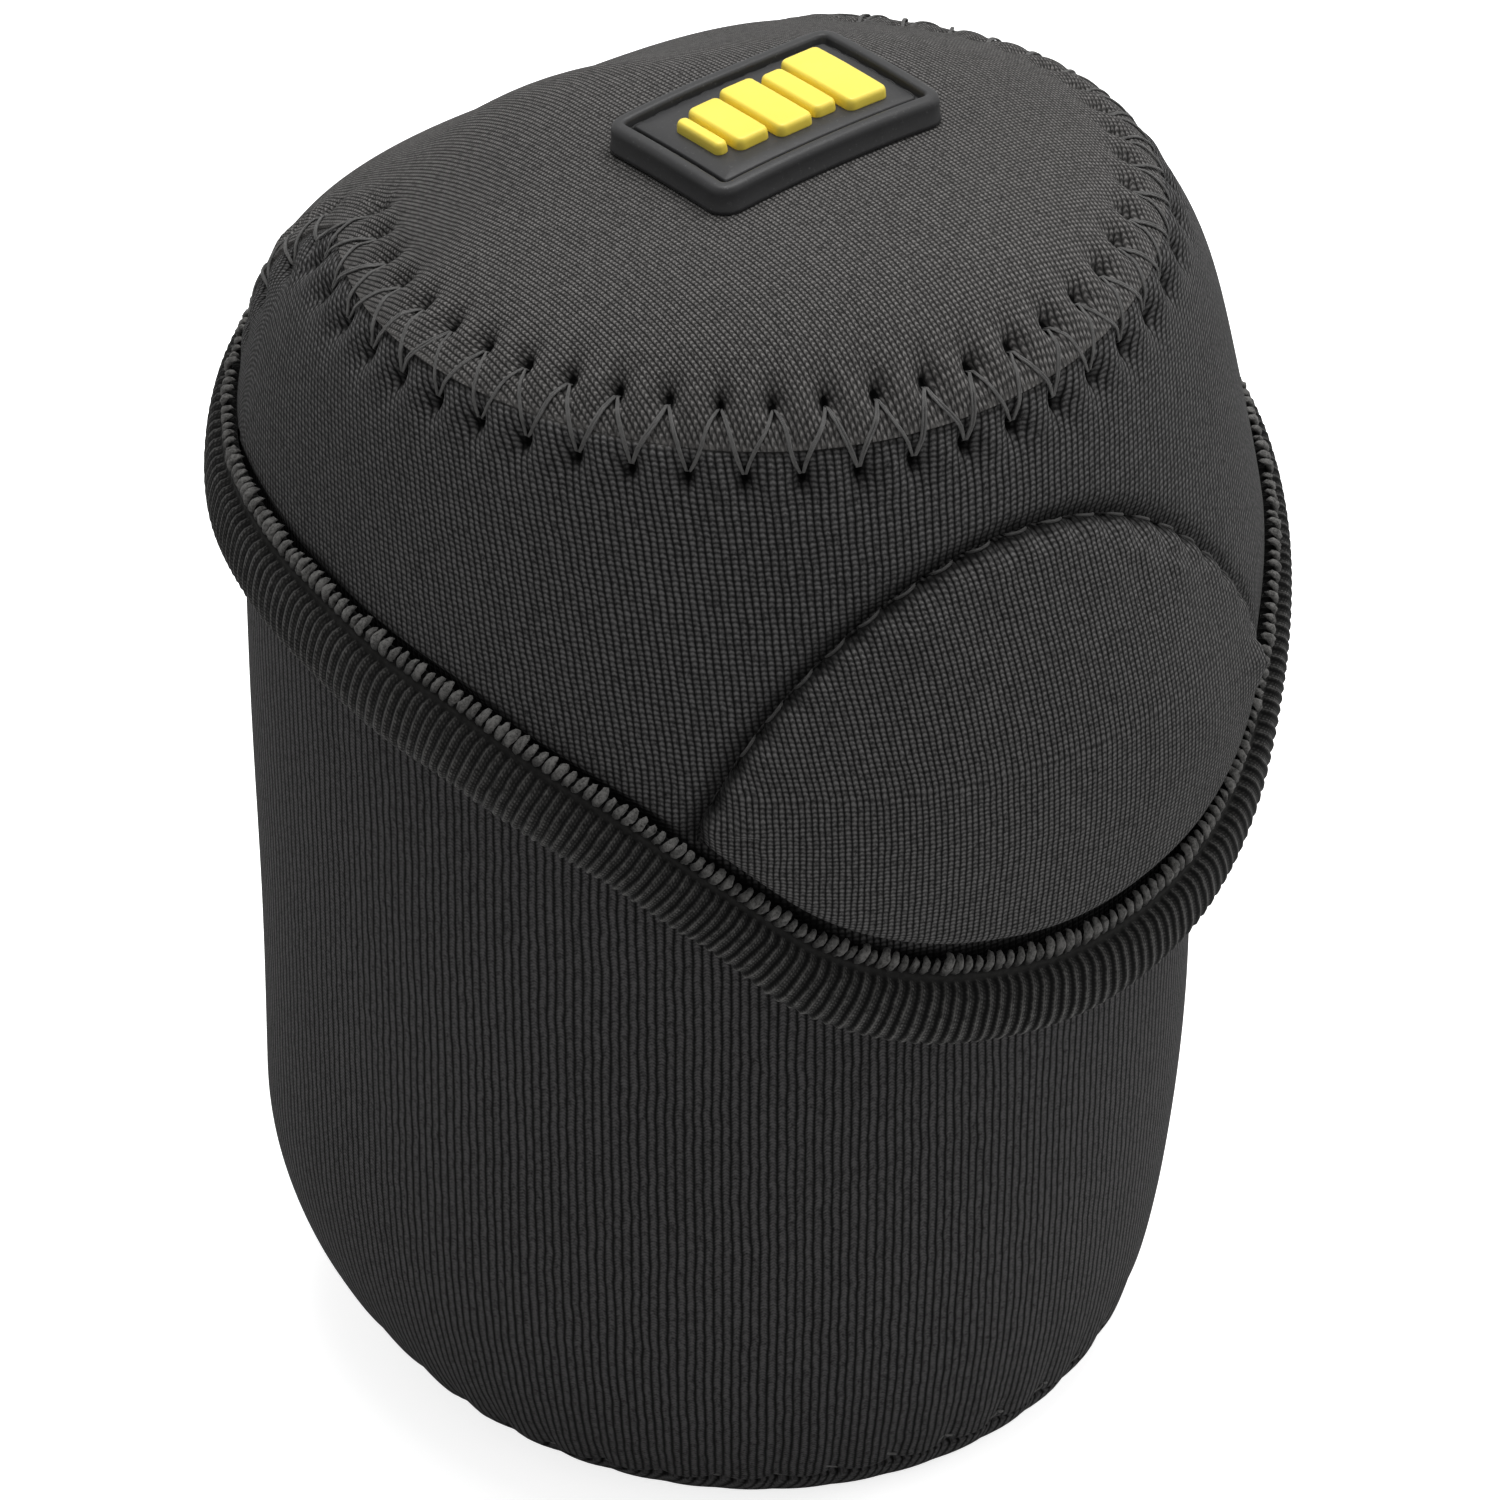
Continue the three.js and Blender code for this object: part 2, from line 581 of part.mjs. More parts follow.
const SKIRT_STEPS = 2 * Math.round((180 - STRIP_HALF_ANGLE) / FLAP_GRID_ANGLE);
const skirtHalf = rad(SKIRT_STEPS * FLAP_GRID_ANGLE / 2);

function flapSkirt() {
  const half = skirtHalf;
  const surface = (depth) => (u, v) => {
    const phi = lerp(-half, half, u);
    const low = flapAtHeight(phi, bandLow(phi) + BAND_LEAF + SEAM_GAP);
    const seam = crownSeamShare(phi) - SEAM_GAP / FLAP_RADIUS;
    return flapOffset(phi, lerp(low, seam, v), -depth);
  };
  return sheet(surface(0), surface(FLAP_THICKNESS), SKIRT_STEPS, 8);
}

// Top of the flap, from the apex out to the seam, and down the back to the hinge
function topEdgeShare(phi) {
  const turned = Math.atan2(Math.sin(phi), Math.cos(phi));
  if (Math.abs(turned) <= Math.PI - rad(STRIP_HALF_ANGLE)) {
    return crownSeamShare(turned);
  }
  return flapAtHeight(phi, HINGE_TOP + SEAM_GAP);
}

function flapTop() {
  const surface = (depth) => (u, v) => {
    const phi = 2 * Math.PI * u;
    return flapOffset(phi, lerp(topEdgeShare(phi), 1, v), -depth);
  };
  return sheet(surface(0), surface(FLAP_THICKNESS), 360 / FLAP_GRID_ANGLE, 9, true);
}

// Folded ribbed tape round the edge of the skirt
function flapBinding() {
  const half = skirtHalf;
  const [gap, leaf, high] = [SEAM_GAP, BAND_LEAF, BAND_HEIGHT];
  const inside = -FLAP_THICKNESS - gap;
  const face = BAND_FACE_SHARES.map(([out, down]) => [BAND_DEPTH * out, -high * down]);
  const outline = [
    [gap, 0], ...face,
    [inside * BAND_ROLL_SHARE, -high], [inside - leaf, -high * BAND_LEAF_TURN_SHARE],
    [inside - leaf, -high * BAND_LEAF_TOP_SHARE], [inside, -high * BAND_LEAF_TOP_SHARE],
    [inside, -high + leaf], [gap, -high + leaf],
  ];
  const section = (u) => {
    const phi = lerp(-half, half, u);
    const top = edgeHeight(phi) - BAND_TOP_DROP;
    return outline.map(([out, up]) => flapOffset(phi, flapAtHeight(phi, top + up), out));
  };
  section.outline = outline;
  return bar(section, SKIRT_STEPS);
}

// Cord that finishes the upper edge of the tape
function edgeCord() {
  const half = skirtHalf;
  const path = new THREE.CatmullRomCurve3(
    Array.from({ length: CORD_POINTS }, (_, i) => {
      const phi = lerp(-half, half, i / (CORD_POINTS - 1));
      return flapOffset(phi, flapAtHeight(phi, edgeHeight(phi) + CORD_RISE), CORD_STAND_OFF);
    }),
  );
  const section = new THREE.Shape().absarc(0, 0, CORD_DIAMETER / 2, 0, 2 * Math.PI);
  return new THREE.ExtrudeGeometry(section, {
    steps: CORD_STEPS, curveSegments: 3, bevelEnabled: false, extrudePath: path,
  });
}

// Zigzag stitching over the crown seam, one unbroken thread
function crownThread() {
  const half = Math.PI - rad(STRIP_HALF_ANGLE) - (STITCH_PITCH + STITCH_WIDTH / 2) / FLAP_RADIUS;
  const fine = 240;
  const line = Array.from({ length: fine + 1 }, (_, i) => {
    const phi = lerp(-half, half, i / fine);
    const t = crownSeamShare(phi);
    return { phi, t, point: flapOffset(phi, t, 0) };
  });
  const walked = [0];
  for (let i = 1; i <= fine; i += 1) {
    walked.push(walked[i - 1] + line[i].point.distanceTo(line[i - 1].point));
  }
  const total = walked[fine];
  const strokes = 2 * Math.round(total / STITCH_PITCH);
  const stand = SEAM_GAP + THREAD_DIAMETER / 2;
  const placeAt = (run, side) => {
    const k = Math.max(1, walked.findIndex((value) => value >= run));
    const share = (run - walked[k - 1]) / (walked[k] - walked[k - 1]);
    const phi = lerp(line[k - 1].phi, line[k].phi, share);
    const t = lerp(line[k - 1].t, line[k].t, share);
    const along = line[k].point.clone().sub(line[k - 1].point).normalize();
    const across = flapNormal(phi, t).cross(along);
    return flapOffset(phi, t, stand).addScaledVector(across, side);
  };
  const places = [];
  for (let i = 0; i < strokes; i += 1) {
    const side = i % 2 ? 1 : -1;
    const run = total * (i + 0.5) / strokes;
    const reach = side * STITCH_WIDTH / 2;
    const lean = STITCH_PITCH * STITCH_TURN_SHARE;
    places.push(placeAt(run - lean, reach * STITCH_CORNER_SHARE));
    places.push(placeAt(run, reach));
    places.push(placeAt(run + lean, reach * STITCH_CORNER_SHARE));
  }
  const onto = places.map((point) => {
    const [phi, t] = seat(point);
    return flapOffset(phi, t, stand);
  });
  const section = [[1, 0], [0, 1], [-1, 0], [0, -1]].map(([a, b]) => [
    THREAD_DIAMETER / 2 * a, THREAD_DIAMETER / 2 * b,
  ]);
  const ring = (u) => {
    const k = Math.round(u * (onto.length - 1));
    const here = onto[k];
    const ahead = onto[Math.min(k + 1, onto.length - 1)];
    const behind = onto[Math.max(k - 1, 0)];
    const along = ahead.clone().sub(behind).normalize();
    const [phi, t] = seat(here);
    const up = flapNormal(phi, t);
    const side = along.clone().cross(up).normalize();
    const rise = side.clone().cross(along);
    return section.map(([a, b]) => here.clone().addScaledVector(side, a).addScaledVector(rise, b));
  };
  ring.outline = section;
  return bar(ring, onto.length - 1);
}

// Angle and share of the flap surface nearest to a place, by a short descent
function seat(point) {
  let phi = Math.atan2(point.x, -(point.y + FLAP_FORWARD - APEX_OFFSET / 2));
  let t = flapAtHeight(phi, Math.min(point.z, APEX_HEIGHT - FRONT_CROWN_RISE));
  let step = SEAT_STEP_SHARE;
  let best = flapPoint(phi, t).distanceTo(point);
  while (step > NORMAL_STEP_SHARE / 10) {
    let moved = false;
    for (const [dp, dt] of [[step, 0], [-step, 0], [0, step], [0, -step]]) {
      const next = flapPoint(phi + dp, Math.min(t + dt, 1)).distanceTo(point);
      if (next < best) {
        [phi, t, best, moved] = [phi + dp, Math.min(t + dt, 1), next, true];
      }
    }
    step = moved ? step : step / 2;
  }
  return [phi, t];
}

// Leaf-shaped padded pull over the front of the skirt
function pullPad() {
  const angle = (u) => rad(PAD_CENTRE_ANGLE + PAD_HALF_ANGLE * (2 * u - 1));
  const bottom = (phi) => edgeHeight(phi) + CORD_RISE + CORD_DIAMETER;
  const tips = [bottom(angle(0)), bottom(angle(1))];
  const top = (u) => {
    const tip = lerp(tips[0], tips[1], u) + PAD_TIP_RISE;
    const arch = Math.max(0, 1 - (2 * u - 1) ** 2) ** PAD_ARCH_SHARE;
    return lerp(tip, PAD_TOP_HEIGHT, arch);
  };
  const crown = (u, v) => {
    const across = Math.sqrt(Math.max(0, 1 - (2 * u - 1) ** 2));
    return PAD_EDGE + (PAD_CROWN - PAD_EDGE) * across * Math.sin(Math.PI * v) ** PAD_SWELL_SHARE;
  };
  const surface = (isOuter) => (u, v) => {
    const phi = angle(u);
    const t = flapAtHeight(phi, lerp(bottom(phi), top(u), v));
    return flapOffset(phi, t, isOuter ? SEAM_GAP + crown(u, v) : SEAM_GAP);
  };
  return sheet(surface(true), surface(false), 22, 8);
}

// Rubber patch: a plate with a raised rim, built in rings from its middle to its outline
function rubberPatch() {
  const field = [PATCH_LENGTH - 2 * PATCH_RIM, PATCH_WIDTH - 2 * PATCH_RIM];
  const full = [PATCH_LENGTH, PATCH_WIDTH];
  const rimTop = PATCH_BASE + PATCH_RIM_HEIGHT;
  const rings = [
    { ringShare: 0, size: field, height: PATCH_BASE },
    { ringShare: 0.35, size: field, height: PATCH_BASE },
    { ringShare: 0.7, size: field, height: PATCH_BASE },
    { ringShare: 1, size: field, height: PATCH_BASE },
    { ringShare: 1, size: field, height: rimTop },
    { ringShare: 1, size: full, height: rimTop },
  ];
  const surface = (isTop) => (u, v) => {
    const { ringShare, size, height } = rings[Math.round(v * (rings.length - 1))];
    const [x, y] = roundedPlace(u, size[0], size[1], PATCH_SQUARENESS_SHARE);
    return isTop ? overTop(x * ringShare, y * ringShare, SEAM_GAP + height) : underPlace(u, v);
  };
  return sheet(surface(true), surface(false), 32, rings.length - 1, true);
}

// Underside of the patch, seated on the fabric
function underPlace(u, v) {
  const [x, y] = roundedPlace(u, PATCH_LENGTH, PATCH_WIDTH, PATCH_SQUARENESS_SHARE);
  return overTop(x * v, y * v, SEAM_GAP);
}

// One block of the raised sign, with rounded corners
function signBlock(length, width, offset) {
  const foot = 2 * SEAM_GAP + PATCH_BASE;
  const surface = (height) => (u, v) => {
    const [x, y] = roundedPlace(u, length, width, SIGN_SQUARENESS_SHARE);
    return overTop(offset + x * v, y * v, foot + height);
  };
  return sheet(surface(SIGN_HEIGHT), surface(0), 16, 2, true);
}

// Assembly
const pouch = new THREE.Group();
const cup = new THREE.Group();
const flap = new THREE.Group();
pouch.add(cup, flap);

function addPiece(group, name, geometry, material) {
  geometry.deleteAttribute("normal");
  geometry.deleteAttribute("uv");
  geometry.computeVertexNormals();
  const mesh = new THREE.Mesh(geometry, material);
  mesh.name = name;
  group.add(mesh);
}

addPiece(cup, "body_wall", bodyWall(), JERSEY);
addPiece(cup, "back_panel", backPanel(), JERSEY);
addPiece(cup, "base_panel", basePanel(), JERSEY);
addPiece(cup, "mouth_binding", mouthBinding(), BINDING);
addPiece(cup, "loop_tape", loopTape(), FASTENER);
addPiece(cup, "belt_loop", beltLoop(), WEBBING);
addPiece(cup, "belt_loop_lower_end", lowerStrapEnd(), WEBBING);
addPiece(cup, "belt_loop_upper_end", upperStrapEnd(), WEBBING);
addPiece(cup, "hinge_strip", hingeStrip(), JERSEY);

addPiece(flap, "flap_skirt", flapSkirt(), JERSEY);
addPiece(flap, "flap_top", flapTop(), TOP_JERSEY);
addPiece(flap, "crown_seam_thread", crownThread(), THREAD);
addPiece(flap, "flap_binding", flapBinding(), BINDING);
addPiece(flap, "edge_cord", edgeCord(), BINDING);
addPiece(flap, "pull_pad", pullPad(), JERSEY);
addPiece(flap, "hook_tape", hookTape(), FASTENER);
addPiece(flap, "rubber_patch", rubberPatch(), RUBBER);

let signStart = -SIGN_LENGTH / 2;
for (const { name, lengthShare, widthShare } of SIGN_BLOCKS) {
  const length = SIGN_LENGTH * lengthShare;
  const block = signBlock(length - SIGN_STEP, SIGN_WIDTH * widthShare, signStart + length / 2);
  addPiece(flap, name, block, SIGN);
  signStart += length;
}

export default pouch;
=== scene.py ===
# %% [markdown]
# A padded lens pouch in charcoal cloth.
# The pouch is sewn from neoprene, a thin foam with knitted jersey on both faces. A round cup holds the
# lens, and a domed flap closes it. The flap hangs on a strip of the same cloth that runs up the back and
# over the top. The construction is already there as solids. This lesson dresses it: each cloth panel
# becomes a fine curved surface with its seams, puckers and stitches, and each finish is a small program of
# shader nodes.

# %% Load the construction
import math

import bpy
import bmesh
import numpy as np
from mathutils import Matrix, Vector


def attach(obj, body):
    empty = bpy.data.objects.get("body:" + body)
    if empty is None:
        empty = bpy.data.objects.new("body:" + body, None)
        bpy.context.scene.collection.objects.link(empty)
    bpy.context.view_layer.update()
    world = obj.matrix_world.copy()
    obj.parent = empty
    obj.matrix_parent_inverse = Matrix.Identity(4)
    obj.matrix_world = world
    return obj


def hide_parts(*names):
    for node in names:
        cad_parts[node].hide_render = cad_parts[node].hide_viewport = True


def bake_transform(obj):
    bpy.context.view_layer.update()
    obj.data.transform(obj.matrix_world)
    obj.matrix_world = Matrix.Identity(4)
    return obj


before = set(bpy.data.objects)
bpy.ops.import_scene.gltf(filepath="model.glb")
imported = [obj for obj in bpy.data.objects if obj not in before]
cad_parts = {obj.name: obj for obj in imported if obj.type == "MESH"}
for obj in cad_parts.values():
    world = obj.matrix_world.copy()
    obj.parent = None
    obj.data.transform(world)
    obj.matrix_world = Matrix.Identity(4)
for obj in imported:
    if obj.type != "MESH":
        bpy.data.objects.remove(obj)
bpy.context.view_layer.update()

# %% [markdown]
# The camera.
# The picture looks down on the pouch from its front left. A long lens far away keeps the outlines straight,
# as a product photograph does. The camera stands at an angle round the pouch and an angle above the floor,
# and looks at a point on the cup's axis.

# %% Place the camera
MM = 0.001
CAMERA_TURN = math.radians(-39)
CAMERA_RISE = math.radians(34.5)
CAMERA_DISTANCE = 750
CAMERA_LENS = 185.25
SENSOR = 36
AIM_ASIDE = 2.23
AIM_HEIGHT = 61.95

aim = Vector((AIM_ASIDE * math.cos(CAMERA_TURN), AIM_ASIDE * math.sin(CAMERA_TURN), AIM_HEIGHT)) * MM
backwards = Vector((
    math.sin(CAMERA_TURN) * math.cos(CAMERA_RISE),
    -math.cos(CAMERA_TURN) * math.cos(CAMERA_RISE),
    math.sin(CAMERA_RISE),
))
camera = bpy.data.objects.new("camera", bpy.data.cameras.new("camera"))
camera.data.lens = CAMERA_LENS
camera.data.sensor_width = SENSOR
camera.data.clip_start = 0.05
camera.data.clip_end = 20
camera.location = aim + backwards * CAMERA_DISTANCE * MM
camera.rotation_euler = (-backwards).to_track_quat("-Z", "Y").to_euler()
bpy.context.scene.collection.objects.link(camera)
bpy.context.scene.camera = camera
print("camera at", [round(c, 3) for c in camera.location])

# %% [markdown]
# A small language for shader nodes.
# A node tree is easier to read as arithmetic. The class below wraps a node's output, and the usual
# operators add Math nodes. Every other node comes from one method, which takes the node's settings and the
# values or links of its sockets.

# %% Wrap sockets so that node maths reads as Python
class Value:
    def __init__(self, tree, socket):
        self.tree = tree
        self.socket = socket

    def math(self, operation, other=None, flipped=False):
        """One Math node on this value and another value or number; flipped puts the other one first."""
        node = self.tree.nodes.new("ShaderNodeMath")
        node.operation = operation
        for place, item in enumerate([other, self] if flipped else [self, other]):
            if isinstance(item, Value):
                self.tree.links.new(item.socket, node.inputs[place])
            elif item is not None:
                node.inputs[place].default_value = item
        return Value(self.tree, node.outputs[0])

    def __add__(self, other):
        return self.math("ADD", other)

    def __sub__(self, other):
        return self.math("SUBTRACT", other)

    def __mul__(self, other):
        return self.math("MULTIPLY", other)

    def __truediv__(self, other):
        return self.math("DIVIDE", other)

    def __rsub__(self, other):
        return self.math("SUBTRACT", other, flipped=True)

    __radd__ = __add__
    __rmul__ = __mul__

    def absolute(self):
        """The distance from zero."""
        return self.math("ABSOLUTE")

    def fraction(self):
        """What is left over a whole number."""
        return self.math("FRACT")

    def power(self, exponent):
        """The value raised to an exponent."""
        return self.math("POWER", exponent)

    def wave(self, reach=-0.5):
        """A cosine of whole turns that runs from 0 at whole numbers to 1 between them, or the other way
        round.
        """
        return (self * (2 * math.pi)).math("COSINE") * reach + 0.5

    def hump(self, width):
        """A Gaussian of the value: 1 at zero, fading over the width."""
        scaled = self / width
        return (scaled * scaled * -1).math("EXPONENT")

    def clamped(self):
        """The value held between 0 and 1."""
        return self.math("MINIMUM", 1).math("MAXIMUM", 0)

# %% Give a material short ways to add nodes
class Finish:
    """A material with a Principled shader and short ways to add nodes to it."""

    def __init__(self, name, roughness, sheen=0, sheen_roughness=0.5, specular=0.5):
        self.material = bpy.data.materials.new(name)
        self.material.use_nodes = True
        self.tree = self.material.node_tree
        self.shader = self.tree.nodes["Principled BSDF"]
        constants = {
            "Roughness": roughness, "Sheen Weight": sheen, "Sheen Roughness": sheen_roughness,
            "Specular IOR Level": specular,
        }
        for socket, value in constants.items():
            self.shader.inputs[socket].default_value = value

    def node(self, kind, settings=None, **sockets):
        """Any other node, from its kind, its settings and a value or a link for each socket it names."""
        node = self.tree.nodes.new(kind)
        for key, value in (settings or {}).items():
            setattr(node, key, value)
        for key, value in sockets.items():
            socket = node.inputs[key.replace("_", " ")]
            if isinstance(value, Value):
                self.tree.links.new(value.socket, socket)
            else:
                socket.default_value = value
        return node

    def out(self, node, name):
        """One output of a node, as a value."""
        return Value(self.tree, node.outputs[name])

    def cloth_place(self):
        """Distances across and along the cloth in millimetres, from the piece's own map."""
        split = self.node("ShaderNodeSeparateXYZ")
        place = self.node("ShaderNodeUVMap", {"uv_map": "cloth"})
        self.tree.links.new(place.outputs["UV"], split.inputs[0])
        return self.out(split, "X"), self.out(split, "Y")

    def attribute(self, name):
        """A value that is stored for each point of the piece."""
        return self.out(self.node("ShaderNodeAttribute", {"attribute_name": name}), "Fac")

    def noise(self, scale, detail=2, roughness=0.5):
        """Noise from 0 to 1 in the piece's own space; the scale counts patches to the metre."""
        place = self.out(self.node("ShaderNodeTexCoord"), "Object")
        node = self.node("ShaderNodeTexNoise", Scale=scale, Detail=detail, Roughness=roughness, Vector=place)
        return self.out(node, "Fac")

    def mix(self, share, low, high):
        """Colour between two colours or links, by a share."""
        node = self.tree.nodes.new("ShaderNodeMix")
        node.data_type = "RGBA"
        self.tree.links.new(share.socket, node.inputs[0])
        for place, colour in ((6, low), (7, high)):
            if isinstance(colour, Value):
                self.tree.links.new(colour.socket, node.inputs[place])
            else:
                node.inputs[place].default_value = (*colour, 1)
        return Value(self.tree, node.outputs[2])

    def finish(self, colour, height=None, depth=0.1, strength=1, roughness=None):
        """Feeds the shader; depth is the bump's real depth in millimetres."""
        self.tree.links.new(colour.socket, self.shader.inputs["Base Color"])
        if roughness is not None:
            self.tree.links.new(roughness.socket, self.shader.inputs["Roughness"])
        if height is not None:
            bump = self.node("ShaderNodeBump", Height=height, Strength=strength, Distance=depth * MM)
            self.tree.links.new(bump.outputs["Normal"], self.shader.inputs["Normal"])
        return self.material


print("node helpers ready")

# %% [markdown]
# The studio.
# The pouch stands on a plain white floor in soft light from all round, with one large lamp overhead. Cloth
# this dark needs a lamp from above to part its top from its sides. Camera rays see a white world, and so do
# the rays that make gloss. The floor is lifted to white for the camera alone, so it keeps the shadow.

# %% Build the floor and the lights
FLOOR_SIZE = 6000
WORLD_LEVEL = 0.28
FLOOR_LIFT = 0.8

world = bpy.data.worlds.new("studio")
world.use_nodes = True
bpy.context.scene.world = world
sky = world.node_tree
path = sky.nodes.new("ShaderNodeLightPath")
seen = Value(sky, path.outputs["Is Camera Ray"])
for kind in ("Is Glossy Ray", "Is Transmission Ray"):
    seen = seen.math("MAXIMUM", Value(sky, path.outputs[kind]))
strength = seen * (1 - WORLD_LEVEL) + WORLD_LEVEL
sky.links.new(strength.socket, sky.nodes["Background"].inputs["Strength"])
sky.nodes["Background"].inputs["Color"].default_value = (1, 1, 1, 1)

half = FLOOR_SIZE / 2 * MM
floor_mesh = bpy.data.meshes.new("floor")
corners = [(-half, -half, 0), (half, -half, 0), (half, half, 0), (-half, half, 0)]
floor_mesh.from_pydata(corners, [], [(0, 1, 2, 3)])
floor = bpy.data.objects.new("floor", floor_mesh)
bpy.context.scene.collection.objects.link(floor)

floor_finish = bpy.data.materials.new("studio_floor")
floor_finish.use_nodes = True
tree = floor_finish.node_tree
diffuse = tree.nodes["Principled BSDF"]
diffuse.inputs["Base Color"].default_value = (0.9, 0.9, 0.9, 1)
diffuse.inputs["Roughness"].default_value = 0.9
path = tree.nodes.new("ShaderNodeLightPath")
lift = tree.nodes.new("ShaderNodeMath")
lift.operation = "MULTIPLY"
lift.inputs[1].default_value = FLOOR_LIFT
tree.links.new(path.outputs["Is Camera Ray"], lift.inputs[0])
tree.links.new(lift.outputs[0], diffuse.inputs["Emission Strength"])
diffuse.inputs["Emission Color"].default_value = (1, 1, 1, 1)
floor_mesh.materials.append(floor_finish)


def add_lamp(name, place, size, watts):
    """A square lamp that faces the middle of the pouch; places and size in millimetres."""
    lamp = bpy.data.lights.new(name, "AREA")
    lamp.shape = "SQUARE"
    lamp.size = size * MM
    lamp.energy = watts
    holder = bpy.data.objects.new(name, lamp)
    holder.location = Vector(place) * MM
    holder.rotation_euler = (aim - holder.location).to_track_quat("-Z", "Y").to_euler()
    bpy.context.scene.collection.objects.link(holder)


add_lamp("overhead_lamp", (150, 60, 900), 600, 6.8)
add_lamp("side_lamp", (700, -500, 600), 500, 1.6)
bpy.context.scene.view_settings.view_transform = "Standard"
print("studio ready")

# %% [markdown]
# Grids become cloth.
# Each panel is a surface worked out on a grid, twice: once for the outer face and once for the inner one. A
# strip along every open edge joins the two, so that the panel is a closed shell of the cloth's real
# thickness. The map called cloth holds distances on the fabric in millimetres, so a knit drawn on it keeps
# its size everywhere.

# %% Turn grids into closed meshes
HALVINGS = 34
THREAD_SIDES = 8
SHORTEST_EDGE = 1e-6
WELD_DISTANCE = 0.0005


def lattice(columns, rows, wrapped=False):
    """Corners of the cells of a grid whose points are stored column by column."""
    i = np.arange(columns if wrapped else columns - 1)[:, None]
    j = np.arange(rows - 1)[None, :]
    ahead = (i + 1) % columns
    corners = np.broadcast_arrays(i * rows + j, ahead * rows + j, ahead * rows + j + 1, i * rows + j + 1)
    return np.stack(corners, -1).reshape(-1, 4)


def thicken(outer, inner, faces, places):
    """A closed shell: the outer faces, the inner ones turned round, and a strip along each open edge."""
    count = len(outer)
    edges = np.concatenate([faces[:, [k, (k + 1) % 4]] for k in range(4)])
    on_map = np.concatenate([places[:, [k, (k + 1) % 4]] for k in range(4)])
    there = edges[:, 0] * count + edges[:, 1]
    back = edges[:, 1] * count + edges[:, 0]
    long_enough = np.linalg.norm(outer[edges[:, 0]] - outer[edges[:, 1]], axis=1) > SHORTEST_EDGE
    loose = ~np.isin(there, back) & long_enough
    rim = np.column_stack([edges[loose][:, ::-1], edges[loose] + count])
    rim_map = np.column_stack([on_map[loose][:, ::-1], on_map[loose]])
    return (
        np.concatenate([outer, inner]),
        np.concatenate([faces, faces[:, ::-1] + count, rim]),
        np.concatenate([places, places[:, ::-1], rim_map]),
    )


def make_object(name, points, faces, finish, cloth_map, places, weld=True):
    """An object at the origin from points in millimetres, faces and their corners' places on the cloth's
    map. Every face has four corners, and one that repeats its third corner stands for a triangle.
    """
    mesh = bpy.data.meshes.new(name)
    kept = np.ones(faces.shape, bool)
    kept[:, 3] = faces[:, 2] != faces[:, 3]
    corners = [face if whole else face[:3] for face, whole in zip(faces.tolist(), kept[:, 3].tolist())]
    mesh.from_pydata((points * MM).tolist(), [], corners)
    on_map = cloth_map[places[kept]].astype(np.float32)
    mesh.uv_layers.new(name="cloth").data.foreach_set("uv", on_map.ravel())
    if weld:
        work = bmesh.new()
        work.from_mesh(mesh)
        bmesh.ops.remove_doubles(work, verts=work.verts, dist=WELD_DISTANCE * MM)
        work.to_mesh(mesh)
        work.free()
    mesh.polygons.foreach_set("use_smooth", np.ones(len(mesh.polygons), bool))
    mesh.materials.append(finish)
    piece = bpy.data.objects.new(name, mesh)
    bpy.context.scene.collection.objects.link(piece)
    print(f"{name}: {len(mesh.vertices)} points, {len(mesh.polygons)} faces")
    return piece


def make_panel(name, outer, inner, cloth_map, finish, wrapped=False):
    """A closed cloth panel from two grids of points, columns first. A wrapped one closes on itself, and
    its map has one column more than its points.
    """
    columns, rows = outer.shape[:2]
    faces, places = lattice(columns, rows, wrapped), lattice(columns + wrapped, rows)
    shell = thicken(outer.reshape(-1, 3), inner.reshape(-1, 3), faces, places)
    return make_object(name, shell[0], shell[1], finish, cloth_map.reshape(-1, 2), shell[2])

# %% Measure lines, maps and points
def unit(vectors):
    """Vectors of length one; a vector of no length stays as it is."""
    size = np.linalg.norm(vectors, axis=-1, keepdims=True)
    return vectors / np.maximum(size, 1e-9)


def walked_along(line):
    """Distance walked along a line of points, from 0 at its first one."""
    return np.concatenate([[0], np.cumsum(np.linalg.norm(np.diff(line, axis=0), axis=1))])


def map_of(across, along):
    """A place on the cloth's map for every pair of two arrays that fit each other."""
    return np.stack(np.broadcast_arrays(across, along), -1)


def read_off(at, along, points):
    """Points of a line at other values of the measure along it, each coordinate by straight lines."""
    return np.stack([np.interp(at, along, points[:, k]) for k in range(points.shape[1])], -1)


def halved(low, high, before):
    """Where a test turns from true to false between two arrays of numbers, by halving."""
    for _ in range(HALVINGS):
        middle = (low + high) / 2
        passed = before(middle)
        low, high = np.where(passed, middle, low), np.where(passed, high, middle)
    return (low + high) / 2


def store(piece, **fields):
    """Stores values for all points of a piece, or one for each of them, which its finish reads by their
    name.
    """
    for name, values in fields.items():
        filled = np.zeros(len(piece.data.vertices), np.float32)
        filled[:] = values
        piece.data.attributes.new(name, "FLOAT", "POINT").data.foreach_set("value", filled)


def points_of(piece):
    """A piece's points in millimetres, a row for each."""
    flat = np.empty(len(piece.data.vertices) * 3)
    piece.data.vertices.foreach_get("co", flat)
    return flat.reshape(-1, 3) / MM

# %% Make threads
def tube_cells(steps, sides):
    """Cells of a closed tube, on its map with the first column repeated, and between its points."""
    cells = lattice(steps, sides + 1)
    return cells, cells // (sides + 1) * sides + cells % (sides + 1) % sides


